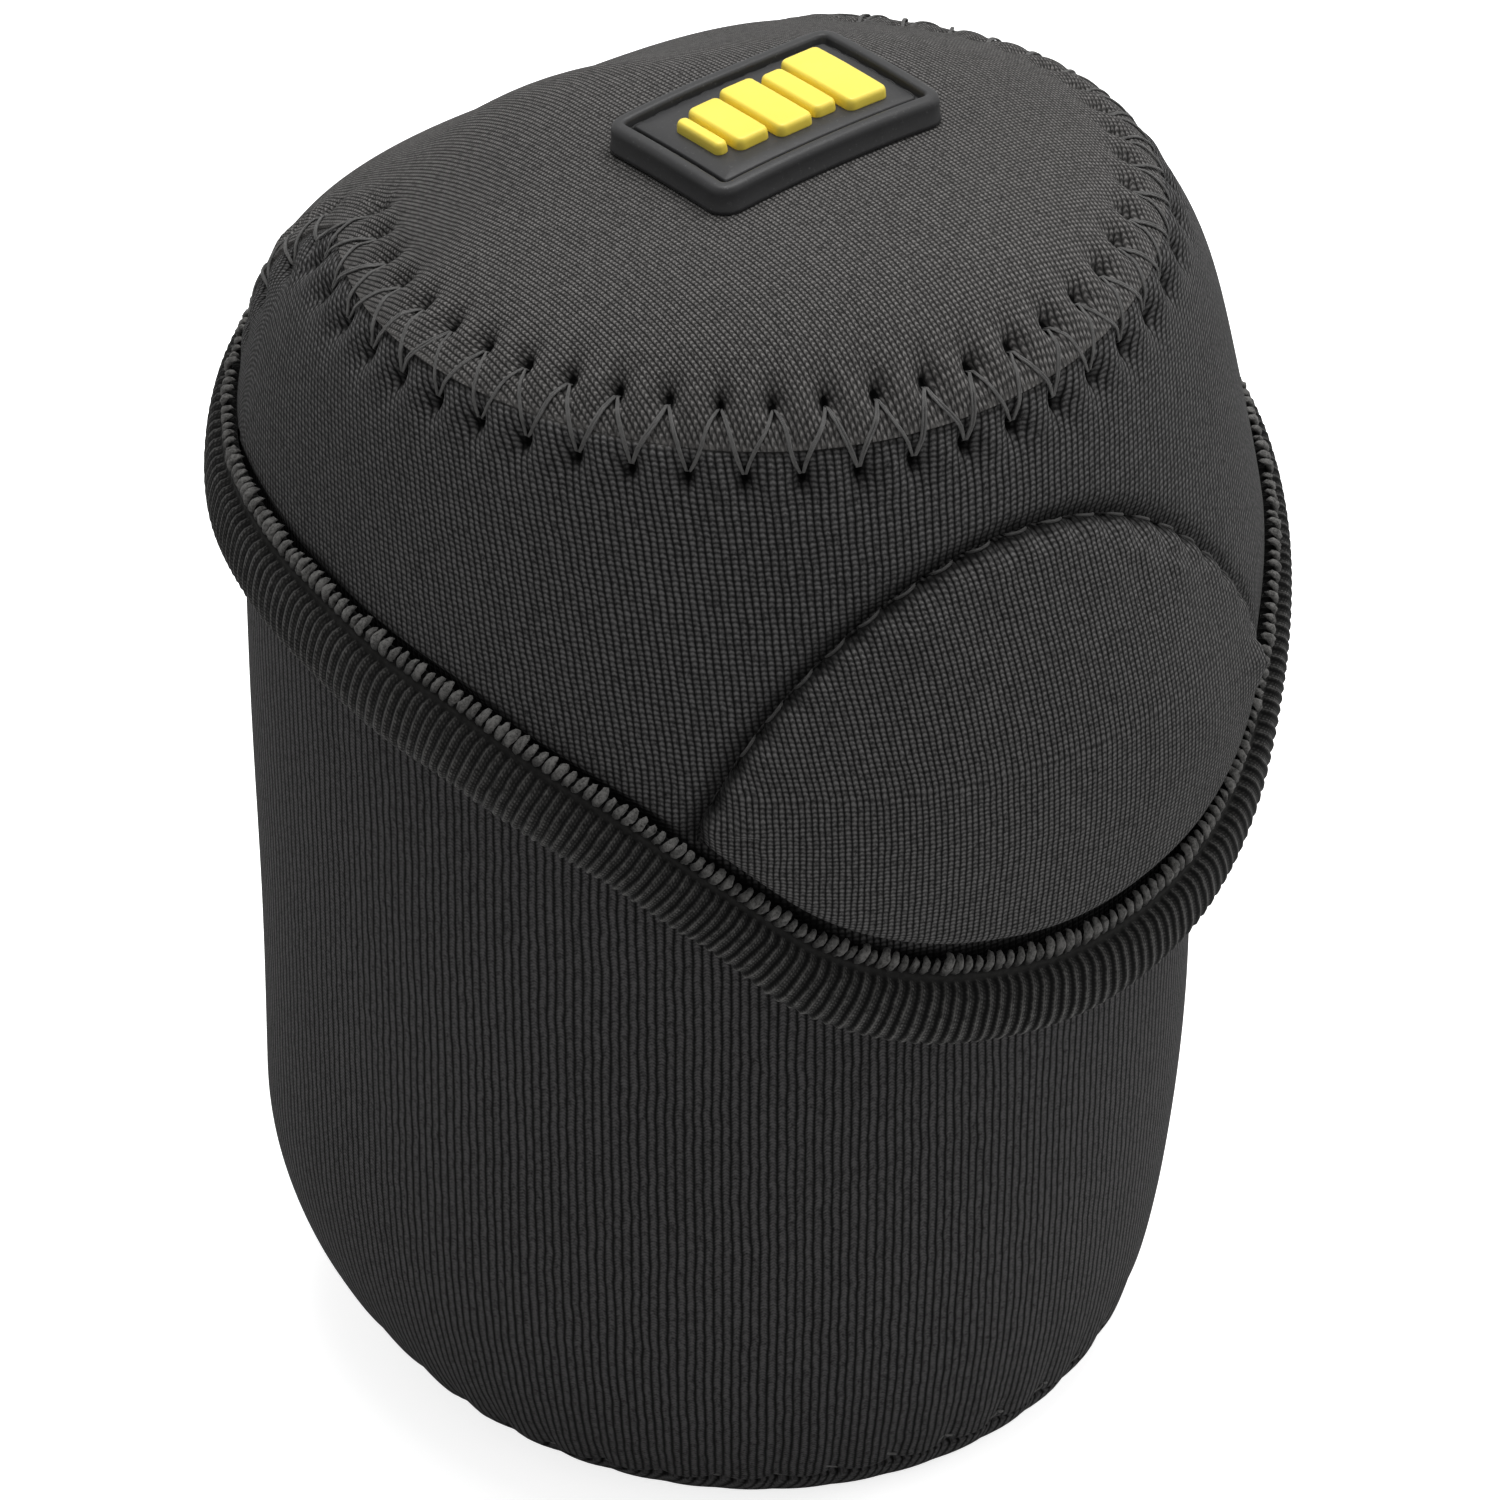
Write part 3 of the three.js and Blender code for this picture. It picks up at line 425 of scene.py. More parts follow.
def strands(name, paths, ups, size, finish, sides=THREAD_SIDES, taper=0.12):
    """Threads as closed flattened tubes, one for each path, with ends that narrow to a point; the size is
    their width and height. A ring's point is the path's point plus cosine times half the width aside and
    sine times half the height up.
    """
    width, height = (np.asarray(part, float)[..., None, None] for part in size)
    along = unit(np.gradient(paths, axis=1))
    aside = unit(np.cross(along, ups))
    rise = np.cross(aside, along)
    share = np.linspace(0, 1, paths.shape[1])
    swell = np.clip(np.minimum(share, 1 - share) / taper, 0, 1)
    swell = np.sqrt(1 - (1 - swell) ** 2)[None, :, None, None]
    turn = np.linspace(0, 2 * np.pi, sides, endpoint=False)
    ring = (
        aside[:, :, None] * np.cos(turn)[:, None] * width / 2
        + rise[:, :, None] * np.sin(turn)[:, None] * height / 2
    )
    points = paths[:, :, None] + ring * swell
    count, steps = paths.shape[:2]
    length = np.stack([walked_along(path) for path in paths])
    cloth_map = map_of(np.linspace(0, 1, sides + 1), length[:, :, None])
    on_map, cells = tube_cells(steps, sides)
    strand = np.arange(count)[:, None, None] * steps
    faces, places = (strand * sides + cells).reshape(-1, 4), (strand * (sides + 1) + on_map).reshape(-1, 4)
    return make_object(name, points.reshape(-1, 3), faces, finish, cloth_map.reshape(-1, 2), places)


def sew(name, body, paths, ups, size, finish, taper=0.12):
    """Stitches that ride on a body."""
    piece = strands(name, paths, ups, size, finish, taper=taper)
    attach(piece, body)
    return piece


print("mesh helpers ready")

# %% [markdown]
# The shapes of the cup and the flap.
# The cup's plan is round in front and a rounded square behind, where the back strip lies flat. Its wall
# stands upright and curls in at the foot. The flap is a dome of the same kind of plan, a little wider,
# whose front edge is steep and whose back slopes down into the hinge. Both are formulas of an angle round
# the pouch and a share of the way up, so every seam and stitch can be placed on them exactly.

# %% The cup as a formula
BODY_RADIUS = 45.4
BODY_BACK_REACH = 40.4
BODY_BACK_SQUARENESS = 2.33
WALL = 3.5
BASE = 4
MOUTH_HEIGHT = 104
NECK_BOTTOM = 88
NECK_LENGTH = 6.5
MOUTH_DRAW = 6
NECK_DRAW_SHARE = 0.8
FOOT_HEIGHTS = (43.7, 23.9)
FOOT_INSETS = (7.9, 22.7)
FOOT_FLARES = (0.74, 0.55)
INNER_FLARES = (0.45, 0.5)
FOOT_RISE = 0.42
FOOT_SEAM = 0.3
STRIP_HALF = math.radians(40)
HINGE_BOTTOM = 88
HINGE_TOP = 104.3
SEAM_GAP = 0.3


def mix(a, b, share):
    """The place a share of the way from a to b."""
    return a + (b - a) * share


def smooth(x):
    """The soft step: 3 x squared minus 2 x cubed, between 0 and 1."""
    x = np.clip(x, 0, 1)
    return x * x * (3 - 2 * x)


def cubic(t, a, b, c, d):
    """Bezier curve from a to d with the handles b and c."""
    return (1 - t) ** 3 * a + 3 * (1 - t) ** 2 * t * b + 3 * (1 - t) * t ** 2 * c + t ** 3 * d


def backness(phi):
    """From 0 in front to 1 behind, as a cosine of the angle."""
    return (1 - np.cos(phi)) / 2


def plan_radius(phi, radius, back_reach, squareness):
    """Radius of a superellipse: round in front, and behind a rounded square of another reach."""
    side, along = np.abs(np.sin(phi)), np.abs(np.cos(phi))
    behind = np.cos(phi) < 0
    power = np.where(behind, squareness, 2.0)
    reach = np.where(behind, back_reach, radius)
    return ((side / radius) ** power + (along / reach) ** power) ** (-1 / power)


def polar(radius, phi, z, centre_y=0.0):
    """Points at a radius, an angle from the front towards +X, and a height."""
    parts = np.broadcast_arrays(radius * np.sin(phi), centre_y - radius * np.cos(phi), z)
    return np.stack([np.asarray(part, float) for part in parts], -1)

# %% The cup's foot, wall and mouth
def body_plan(phi):
    """Radius of the cup's upright wall."""
    return plan_radius(phi, BODY_RADIUS, BODY_BACK_REACH, BODY_BACK_SQUARENESS)


def foot_height(phi):
    """Height at which the foot's curve ends and the upright wall begins."""
    return mix(*FOOT_HEIGHTS, backness(phi))


def foot_point(phi, share, depth):
    """The foot's Bezier from the flat base, share 0, to the upright wall, share 1, at a depth in the
    cloth.
    """
    t = 1 - share
    back = backness(phi)
    plan = body_plan(phi) - depth
    inset = mix(*FOOT_INSETS, back)
    ground = depth * BASE / WALL
    outer, inner = mix(*FOOT_FLARES, back), mix(*INNER_FLARES, back)
    flare = mix(outer, inner, np.clip(depth / WALL, 0, 1))
    radius = cubic(t, plan, plan, plan - inset * (1 - flare), plan - inset)
    top = foot_height(phi)
    z = cubic(t, top, mix(ground, top, FOOT_RISE), ground, ground)
    return polar(radius, phi, z)


def mouth_draw(z):
    """How far the wall is drawn in under the flap."""
    neck = smooth((z - NECK_BOTTOM) / NECK_LENGTH)
    above = np.clip((z - NECK_BOTTOM) / (MOUTH_HEIGHT - NECK_BOTTOM), 0, 1)
    return MOUTH_DRAW * mix(above, neck, NECK_DRAW_SHARE)


def wall_point(phi, z, depth, draw=mouth_draw):
    """The upright wall: the plan, drawn in at the neck, less the depth in the cloth."""
    return polar(body_plan(phi) - draw(z) - depth, phi, z)


print("cup", 2 * BODY_RADIUS, "mm wide and", MOUTH_HEIGHT, "mm to its mouth")

# %% The flap as a formula
FLAP_STEP = 3.5
FLAP_FORWARD = 4
FLAP_RADIUS = BODY_RADIUS + FLAP_STEP
FLAP_BACK_REACH = BODY_BACK_REACH + FLAP_FORWARD
FLAP_BACK_SQUARENESS = 2.41
FLAP_CLOTH = 3
SPRING_HEIGHT = 92.5
SPRING_ROUNDING = 0.06
APEX_HEIGHT = 135.1
APEX_SET_BACK = 9.4
APEX_ROUNDING = 9
SHOULDER_DROPS = (1.8, 11.9)
CROWN_RISES = (1.9, -16.3)
SHOULDER = 0.85
CROWNS = (1.115, 0.607)
SMALL_STEP = 0.002
PUFF_OUT = 0.8
PUFF_UP = 0.5
PUFF_START = 0.3
PUFF_END = 0.1
# Where the stuffed dome is fuller: angle, its width, share of the way up, its width, and how far out
PUFFS = (
    (math.radians(62), math.radians(27), 0.25, 0.14, 0.6),
    (math.radians(62), math.radians(44), 0.85, 0.13, 1.8),
    (math.radians(-128), math.radians(38), 0.38, 0.24, 0.9),
    (math.radians(-128), math.radians(52), 0.86, 0.14, 2.6),
)


def puff(phi, t):
    """Fullness of the dome's shoulders: a sum of Gaussians of the angle and the share."""
    out = 0.0
    for turn, turn_width, share, share_width, rise in PUFFS:
        gap = np.arctan2(np.sin(phi - turn), np.cos(phi - turn))
        out = out + rise * np.exp(-(gap / turn_width) ** 2 - ((t - share) / share_width) ** 2)
    return out


def flap_point(phi, t):
    """The dome: a meridian's Bezier in radius and height, swept round the plan, with a rounded apex."""
    back = backness(phi)
    shoulder_height = APEX_HEIGHT - mix(*SHOULDER_DROPS, back)
    crown_height = APEX_HEIGHT + mix(*CROWN_RISES, back)
    bent = (t + np.hypot(t, SPRING_ROUNDING * (1 - 2 * np.abs(t)))) / 2
    lean = np.where(t < 0.5, bent, t)
    plan = plan_radius(phi, FLAP_RADIUS, FLAP_BACK_REACH, FLAP_BACK_SQUARENESS)
    radius = plan * cubic(lean, 1, SHOULDER, mix(*CROWNS, back), 0)
    raw = cubic(t, SPRING_HEIGHT, shoulder_height, crown_height, APEX_HEIGHT)
    at_spring = (1 - plan / np.hypot(plan, APEX_ROUNDING)) * (1 - t) ** 3
    full = puff(phi, t) * smooth((1 - t) / PUFF_END)
    rounded = APEX_HEIGHT - (APEX_HEIGHT - raw) * (radius / np.hypot(radius, APEX_ROUNDING) + at_spring)
    straight = SPRING_HEIGHT + 3 * t * (shoulder_height - SPRING_HEIGHT)
    below = t < 0
    centre = -FLAP_FORWARD + np.where(below, 0, APEX_SET_BACK * (1 - (1 - t) ** 2))
    height = np.where(below, straight, rounded + PUFF_UP * full * smooth(t / PUFF_START))
    return polar(radius + PUFF_OUT * full, phi, height, centre)

# %% Slopes of the flap, and places off it
def flap_slopes(phi, t):
    """How the dome's point moves with the angle and with the share."""
    t = np.minimum(t, 1 - 4 * SMALL_STEP)
    by_angle = (flap_point(phi + SMALL_STEP, t) - flap_point(phi - SMALL_STEP, t)) / (2 * SMALL_STEP)
    by_share = (flap_point(phi, t + SMALL_STEP) - flap_point(phi, t - SMALL_STEP)) / (2 * SMALL_STEP)
    return by_angle, by_share


def flap_normal(phi, t):
    """The way out of the dome: the cross product of its two slopes."""
    return unit(np.cross(*flap_slopes(phi, t)))


def flap_offset(phi, t, out):
    """The dome moved outwards by a distance, or inwards by a negative one."""
    return flap_point(phi, t) + flap_normal(phi, t) * np.asarray(out, float)[..., None]


def flap_at_height(phi, z):
    """The share at which the dome's front reaches a height, by halving."""
    low = np.full(np.broadcast(phi, z).shape, -1.0)
    return halved(low, np.full(low.shape, 0.8), lambda t: flap_point(phi, t)[..., 2] < z)


print("flap", 2 * FLAP_RADIUS, "mm wide, its top", APEX_HEIGHT, "mm above the floor")

# %% The flap's lower edge and its crown seam
EDGE_FRONT_HEIGHT = 70.7
EDGE_RISE = 40
EDGE_TURN = -2
LEFT_DIP = 1.4
LEFT_DIP_PLACE = (-120, 10)
EDGE_ANGLES = [0, 10, 20, 30, 40, 50, 60, 70, 80, 90, 100, 110, 120, 130, 140]
EDGE_RISE_SHARES = [
    0, 0.018, 0.065, 0.163, 0.328, 0.478, 0.585, 0.67, 0.719, 0.761, 0.791, 0.833, 0.879, 0.924, 0.958,
]
SEAM_RADIUS = 37.4
SEAM_SET_FORWARD = 5.4
SEAM_ASIDE = -1.4
SEAM_TURN = math.radians(114)
SEAM_END = math.pi - STRIP_HALF


def edge_height(phi):
    """Height of the cord: a smooth curve through chosen shares of its rise, a little turned to one side."""
    turned = np.abs(np.degrees(phi) - EDGE_TURN * np.cos(phi / 2))
    angles, shares = np.array(EDGE_ANGLES, float), np.array(EDGE_RISE_SHARES)
    slopes = np.zeros(len(shares))
    slopes[1:-1] = (shares[2:] - shares[:-2]) / (angles[2:] - angles[:-2])
    slopes[-1] = (shares[-1] - shares[-2]) / (angles[-1] - angles[-2])
    k = np.clip(np.searchsorted(angles, turned, side="right") - 1, 0, len(angles) - 2)
    span = angles[k + 1] - angles[k]
    s = np.clip((turned - angles[k]) / span, 0, 1)
    leaving = (s ** 3 - 2 * s ** 2 + s) * span * slopes[k]
    arriving = (s ** 3 - s ** 2) * span * slopes[k + 1]
    rise = mix(shares[k], shares[k + 1], 3 * s ** 2 - 2 * s ** 3) + leaving + arriving
    dip = LEFT_DIP * np.exp(-((np.degrees(phi) - LEFT_DIP_PLACE[0]) / LEFT_DIP_PLACE[1]) ** 2)
    return EDGE_FRONT_HEIGHT + EDGE_RISE * rise - dip


def seam_circle_share(phi):
    """Where the dome comes within the seam circle's plan, by halving."""
    def outside(t):
        """Whether the dome at a share is wider than the circle, by the distance in plan."""
        point = flap_point(phi, t)
        return np.hypot(point[..., 0] - SEAM_ASIDE, point[..., 1] + SEAM_SET_FORWARD) > SEAM_RADIUS

    return halved(np.zeros(phi.shape), np.full(phi.shape, 0.95), outside)


SEAM_PHI = np.linspace(-SEAM_END, SEAM_END, 1201)
hinge_share = flap_at_height(SEAM_PHI, HINGE_TOP)
turned_down = smooth((np.abs(SEAM_PHI) - SEAM_TURN) / (SEAM_END - SEAM_TURN))
circle = seam_circle_share(np.clip(SEAM_PHI, -SEAM_TURN, SEAM_TURN))
SEAM_SHARE = mix(circle, hinge_share, turned_down)
SEAM_LINE = flap_point(SEAM_PHI, SEAM_SHARE)
SEAM_WALKED = walked_along(SEAM_LINE)
SEAM_ALONG = unit(np.gradient(SEAM_LINE, axis=0))
SEAM_NORMAL = flap_normal(SEAM_PHI, SEAM_SHARE)
SEAM_ACROSS = unit(np.cross(SEAM_NORMAL, SEAM_ALONG))
print("crown seam", round(float(SEAM_WALKED[-1]), 1), "mm long")


def crown_seam_share(phi):
    """Share of the way up at which the crown seam lies."""
    return np.interp(phi, SEAM_PHI, SEAM_SHARE)

# %% [markdown]
# Zigzag stitches and what they do to the cloth.
# A wide zigzag joins two panels edge to edge: the roof to the skirt, and the cup's wall to the back strip.
# Every time the needle goes down, the thread pulls a small deep dimple into the foam, and the cloth swells
# up between the dimples. A seam is kept as its line, the way across it and the number of strokes. Any point
# near it then has two seam places: how many strokes along it lies, and how many millimetres across. One
# formula of these two says how far the cloth sinks, and the finish uses the same two values to paint shade
# into the needle holes.

# %% Seams and their places
STITCH_PITCH = 5.0
STITCH_WIDTH = 6.4
HOLE_DEPTH = 1.25
HOLE_LENGTH = 1.05
HOLE_WIDTH = 0.6
SWELL = 0.36
FOLD_DEPTH = 0.3
FOLD_WIDTH = 1.1
FOLD_PLACE = 1.1
FOLD_LENGTH = 1.9
RIDGE_HEIGHT = 0.25
RIDGE_WIDTH = 2.6
CUT_DROP = 0.7
FAR = 99.0
CHUNK = 4000


def make_seam(line, across):
    """A zigzag seam over a line of points: the strokes' count comes from the line's length."""
    walked = walked_along(line)
    strokes = 2 * round(walked[-1] / STITCH_PITCH)
    turns = walked / walked[-1] * strokes
    return {"line": line, "along": unit(np.gradient(line, axis=0)), "across": across, "turns": turns,
            "strokes": strokes, "stroke": walked[-1] / strokes}


crown_seam = make_seam(SEAM_LINE, SEAM_ACROSS)


def distance_to(points, line):
    """Distance from points to a line of points, and the index of the nearest one."""
    far = np.empty(len(points))
    nearest = np.empty(len(points), int)
    for start in range(0, len(points), CHUNK):
        part = points[start:start + CHUNK]
        gaps = (part ** 2).sum(1)[:, None] + (line ** 2).sum(1)[None] - 2 * part @ line.T
        nearest[start:start + CHUNK] = gaps.argmin(1)
        far[start:start + CHUNK] = np.sqrt(np.maximum(gaps.min(1), 0))
    return far, nearest


def seam_places(points, seams, reach=8.0):
    """Strokes along the nearest seam and millimetres across it; points out of reach are far away."""
    turn, over = np.zeros(len(points)), np.full(len(points), FAR)
    for seam in seams:
        far, nearest = distance_to(points, seam["line"])
        offset = points - seam["line"][nearest]
        across = (offset * seam["across"][nearest]).sum(1)
        closer = (far < reach) & (np.abs(across) < np.abs(over))
        walked = (offset * seam["along"][nearest]).sum(1) / seam["stroke"]
        turn = np.where(closer, seam["turns"][nearest] + walked, turn)
        over = np.where(closer, across, over)
    return turn, over

# %% How the stitches pull the cloth in
def pucker(turn, over):
    """How far the cloth stands out: Gaussian dimples at the needle holes, swellings between them, a low
    ridge.
    """
    phase = (turn - 0.5 - (over > 0)) / 2
    aside = np.abs(phase - np.round(phase)) * STITCH_PITCH
    past = np.abs(over) - STITCH_WIDTH / 2
    dimple = np.exp(-(aside / HOLE_WIDTH) ** 2 - (past / HOLE_LENGTH) ** 2)
    fold = np.exp(-(aside / FOLD_WIDTH) ** 2 - ((past - FOLD_PLACE) / FOLD_LENGTH) ** 2)
    between = np.cos(2 * np.pi * phase) * np.exp(-(past / FOLD_LENGTH) ** 2)
    ridge = RIDGE_HEIGHT * np.exp(-(over / RIDGE_WIDTH) ** 2)
    return ridge - HOLE_DEPTH * dimple - FOLD_DEPTH * fold - SWELL * between


def give_places(piece, seams, shade=0.0):
    """Stores the seam places of a piece's points and their painted shade in a channel, for its finish."""
    turn, over = seam_places(points_of(piece), seams)
    store(piece, seam_turn=turn, seam_across=over, shade=shade)


def walk_on_flap(phi, t, direction, distance, steps=6):
    """Angle and share reached by walking over the dome in a direction, by small steps on its slopes."""
    for _ in range(steps):
        by_angle, by_share = flap_slopes(phi, t)
        a, b, c = (by_angle ** 2).sum(-1), (by_angle * by_share).sum(-1), (by_share ** 2).sum(-1)
        p, q = (by_angle * direction).sum(-1), (by_share * direction).sum(-1)
        scale = distance / steps / (a * c - b * b)
        phi, t = phi + (c * p - b * q) * scale, t + (a * q - b * p) * scale
    return phi, t


def cut_share(phi):
    """Share of the roof's cut edge, a little below the middle of the zigzag."""
    share = crown_seam_share(phi)
    return share - CUT_DROP / np.linalg.norm(flap_slopes(phi, share)[1], axis=-1)


print(crown_seam["strokes"], "strokes along the crown seam")

# %% The cup's side seams
SIDE_SEAM_TOP = HINGE_BOTTOM - 3
SIDE_SEAM_FOOT = 0.36


def cup_line(turn):
    """Points and outward ways up the cup at one angle, from the foot to under the hinge."""
    share = np.linspace(SIDE_SEAM_FOOT, 1, 60)
    low, low_in = foot_point(turn, share, 0.0), foot_point(turn, share, 1.0)
    height = np.linspace(foot_height(turn), SIDE_SEAM_TOP, 60)[1:]
    high, high_in = wall_point(turn, height, 0), wall_point(turn, height, 1)
    return np.concatenate([low, high]), unit(np.concatenate([low - low_in, high - high_in]))


side_lines = [cup_line(-SEAM_END), cup_line(SEAM_END)]
side_seams = [
    make_seam(line, unit(np.cross(normals, unit(np.gradient(line, axis=0))))) for line, normals in side_lines
]
print([seam["strokes"] for seam in side_seams], "strokes up the side seams")

# %% [markdown]
# Where the padded pull lies.
# The pull is a leaf between the bound edge and an arch, laid out in the dome's own angle and share. Its
# outline is needed before the skirt is made, because the skirt sinks into a narrow channel where the pull
# is sewn down.

# %% Lay out the padded pull
CORD_DIAMETER = 2.2
PAD_CENTRE = math.radians(-5)
PAD_HALF = math.radians(40)
PAD_TOP_HEIGHT = 112.4
PAD_TIP_RISE = 0.6
PAD_ARCH = 0.77
PAD_CROWDING = 0.8
PAD_COLUMNS = 241
PAD_ROWS = 97
PAD_STITCH = 4.1
PAD_STITCH_GAP = 0.16
PAD_STITCH_STEPS = 11
PAD_CLEAR = 1.6
CHANNEL_DEPTH = 0.9
CHANNEL_WIDTH = 1.2


def pad_bottom(phi):
    """Height of the pull's lower border, a little above the bound edge."""
    return edge_height(phi) + PAD_CLEAR


def pad_place(across, up):
    """Angle and share on the dome; both ways crowd towards the pad's border by a cosine."""
    u, v = (1 - np.cos(np.pi * across)) / 2, (1 - np.cos(np.pi * up)) / 2
    v = mix(up, v, PAD_CROWDING)
    phi = PAD_CENTRE + PAD_HALF * (2 * u - 1)
    tips = pad_bottom(PAD_CENTRE + PAD_HALF * np.array([-1.0, 1.0]))
    tip = mix(tips[0], tips[1], u) + PAD_TIP_RISE
    arch = np.clip(1 - (2 * u - 1) ** 2, 0, 1) ** PAD_ARCH
    height = mix(pad_bottom(phi), mix(tip, PAD_TOP_HEIGHT, arch), v)
    return phi, flap_at_height(phi, height)


pad_line_at = np.linspace(0, 1, 601)
PAD_TOP_LINE = flap_point(*pad_place(pad_line_at, 1))
PAD_LOW_LINE = flap_point(*pad_place(pad_line_at, 0))
PAD_WALKED = walked_along(PAD_TOP_LINE)
pad_stitches = round(PAD_WALKED[-1] / PAD_STITCH)
pad_edge_heights = (pad_place(pad_line_at, 1)[0], PAD_TOP_LINE[:, 2])


def share_grid(columns, rows):
    """Shares from 0 to 1 across and up a grid, columns first."""
    return np.meshgrid(np.linspace(0, 1, columns), np.linspace(0, 1, rows), indexing="ij")


def from_border(u, v, wide, high):
    """Distance to the nearest border of a rectangle, by the shares across and up it."""
    return np.minimum(np.minimum(u, 1 - u) * wide, np.minimum(v, 1 - v) * high)


def bulge(distance, width):
    """A quarter of an ellipse: steep at the border and level at the width."""
    return np.sqrt(1 - (1 - np.clip(distance / width, 0, 1)) ** 2)


print("pull", round(float(PAD_WALKED[-1])), "mm round its upper edge,", pad_stitches, "stitches")

# %% [markdown]
# Knitted jersey.
# The foam is faced with a plain knit. Close up it is a grid of tiny loops: columns called wales, and rows
# called courses. Each loop's two legs lean towards each other, so the rows look like small arrows. Cosines
# of the cloth map draw the wales and the slanted courses, and noise makes some loops lighter and moves the
# columns a little, as yarn does. The valleys between the loops are darkened in the colour as painted shade,
# which matters more than the bump for cloth that is nearly black.

# %% Make the jersey finishes
def jersey(name, wale, course, dark, light, rope=0, rows=0.75, slant=0.2, depth=0.16, sewn=True):
    """Plain knit: wale and course are its pitches in millimetres. Rope, from 0 to 1, is how far the loops
    of a wale run together into one cord; rows says how deep the gaps between the loops are, slant how
    far their legs lean.
    """
    f = Finish(name, roughness=0.95, sheen=0.04, sheen_roughness=0.5, specular=0.1)
    across, along = f.cloth_place()
    drift = (f.noise(70, 2) - 0.5) * 0.7 + (f.noise(430, 2) - 0.5) * 0.45
    column = across / wale + drift
    leg = (column.fraction() - 0.5).absolute() * 2
    loops = (along / course + leg * slant + (f.noise(500, 1) - 0.5) * 0.9).wave()
    ridge = 1 - leg.power(2.2 + 2 * rope)
    valley = (1 - leg).hump(0.42) * (1 - loops * 0.3)
    height = ridge * (1 - valley * rope) * (loops * rows + (1 - rows))
    heather = f.noise(2100, 3, 0.8) * 3.6 - 0.8
    broad = f.noise(26, 3) * 0.5 + 0.75
    # Painted shade: the tone is darkest in the valleys between the loops, where the bump casts none; the
    # heather and broad noise are the yarn's own random tone.
    tone = (height.power(1.6 - 0.4 * rope) * heather * broad).clamped()
    # Painted shade from the piece's shade channel: dark in gaps, channels and creases.
    painted_shade_mask = f.attribute("shade").clamped()
    colour = f.mix(tone * (1 - painted_shade_mask), dark, light)
    relief = height + f.noise(2600, 2, 0.6) * 0.25
    if sewn:
        turn, over = f.attribute("seam_turn"), f.attribute("seam_across")
        side = over.math("GREATER_THAN", 0)
        phase = ((turn - 0.5 - side) * 0.5).fraction()
        aside = (0.5 - (phase - 0.5).absolute()) * STITCH_PITCH
        past = over.absolute() - STITCH_WIDTH / 2
        ragged = f.noise(1100, 2, 0.7) * 1.6 + 0.2
        # Painted shade in the needle holes; the same mask flattens the bump there.
        hole_shade = (aside.hump(0.42) * (past + 0.3).hump(0.9) * ragged).clamped()
        # A light line along the roof's cut edge: frayed fibres, and partly a painted highlight where the
        # raised edge catches the lamp.
        fray_and_highlight = (over + CUT_DROP - 0.2).hump(0.38) * (f.noise(900, 2, 0.8) * 2.6 - 0.8)
        colour = f.mix((fray_and_highlight * 0.8).clamped(), colour, FRAY_AND_HIGHLIGHT_COLOUR)
        colour = f.mix((hole_shade * 1.7).clamped(), colour, PAINTED_SHADE_COLOUR)
        relief = relief * (1 - hole_shade)
    # Painted shade in gaps, channels and creases, mixed towards the painted shade colour.
    colour = f.mix(painted_shade_mask * 0.9, colour, PAINTED_SHADE_COLOUR)
    return f.finish(colour, relief, depth=depth)


# Painted shade for needle holes, gaps and creases.
PAINTED_SHADE_COLOUR = (0.0012, 0.0012, 0.0012)
# The cut edge's colour: frayed fibres, partly a painted highlight.
FRAY_AND_HIGHLIGHT_COLOUR = (0.13, 0.125, 0.12)
BLACK = (0.002, 0.002, 0.002)
WALL_KNIT = {
    "wale": 0.87, "course": 0.36, "dark": BLACK, "light": (0.08, 0.078, 0.079),
    "rope": 1, "rows": 0.3, "slant": 0.9,
}
wall_jersey = jersey("wall_jersey", **WALL_KNIT)
base_jersey = jersey("base_jersey", **WALL_KNIT, sewn=False)
# The roof's and the skirt's colours are paler than the wall's partly as painted light, for their faces turn
# up to the lamp overhead.
skirt_jersey = jersey("skirt_jersey", 0.66, 0.5, BLACK, (0.127, 0.125, 0.125), rope=0.6, rows=0.6)
roof_jersey = jersey(
    "roof_jersey", 0.49, 0.42, (0.016, 0.0156, 0.0152), (0.2, 0.193, 0.188), rows=0.6, slant=0.4,
)
print("jersey in four weights")

# %% [markdown]
# The skirt of the flap.
# The skirt is one band of cloth from the bound edge up to the crown seam. Its wales run parallel to one
# line a little left of the front, because the real panel is cut flat, so the map measures from that line.
# Near the seam its surface follows the puckers. Its upper edge turns down into the groove, as a cut edge of
# foam does.

# %% Lay out the skirt
SKIRT_COLUMNS = 561
SKIRT_ROWS = 78
SKIRT_HALF = math.radians(140)
SKIRT_GRAIN = math.radians(-36)
BAND_TOP_DROP = 1.2
BAND_HEIGHT = 7.8
BAND_LEAF = 1
SWAY = 0.35
TUCK_DEPTH = 0.2
TUCK_WIDTH = 0.4
INNER_PUCKER = 0.25
CALM_HEIGHT = 20
GAP_BOTTOM = 0.2
GAP_WIDTH = 0.6
GAP_DEPTH = 0.9


def row_shares(count, crowd):
    """Shares from 0 to 1 that crowd towards 1."""
    return 1 - (1 - np.linspace(0, 1, count)) ** crowd


def skirt_grid(depth):
    """The skirt at a depth in the cloth: columns round the dome, rows from the edge to the crown seam."""
    phi = np.linspace(-SKIRT_HALF, SKIRT_HALF, SKIRT_COLUMNS)
    low = flap_at_height(phi, edge_height(phi) - BAND_TOP_DROP - BAND_HEIGHT + BAND_LEAF + SEAM_GAP)
    high = cut_share(phi)
    share = row_shares(SKIRT_ROWS, 1.6)
    t = mix(low[:, None], high[:, None], share[None, :])
    phi = np.broadcast_to(phi[:, None], t.shape)
    return phi, t, flap_offset(phi, t, -depth)


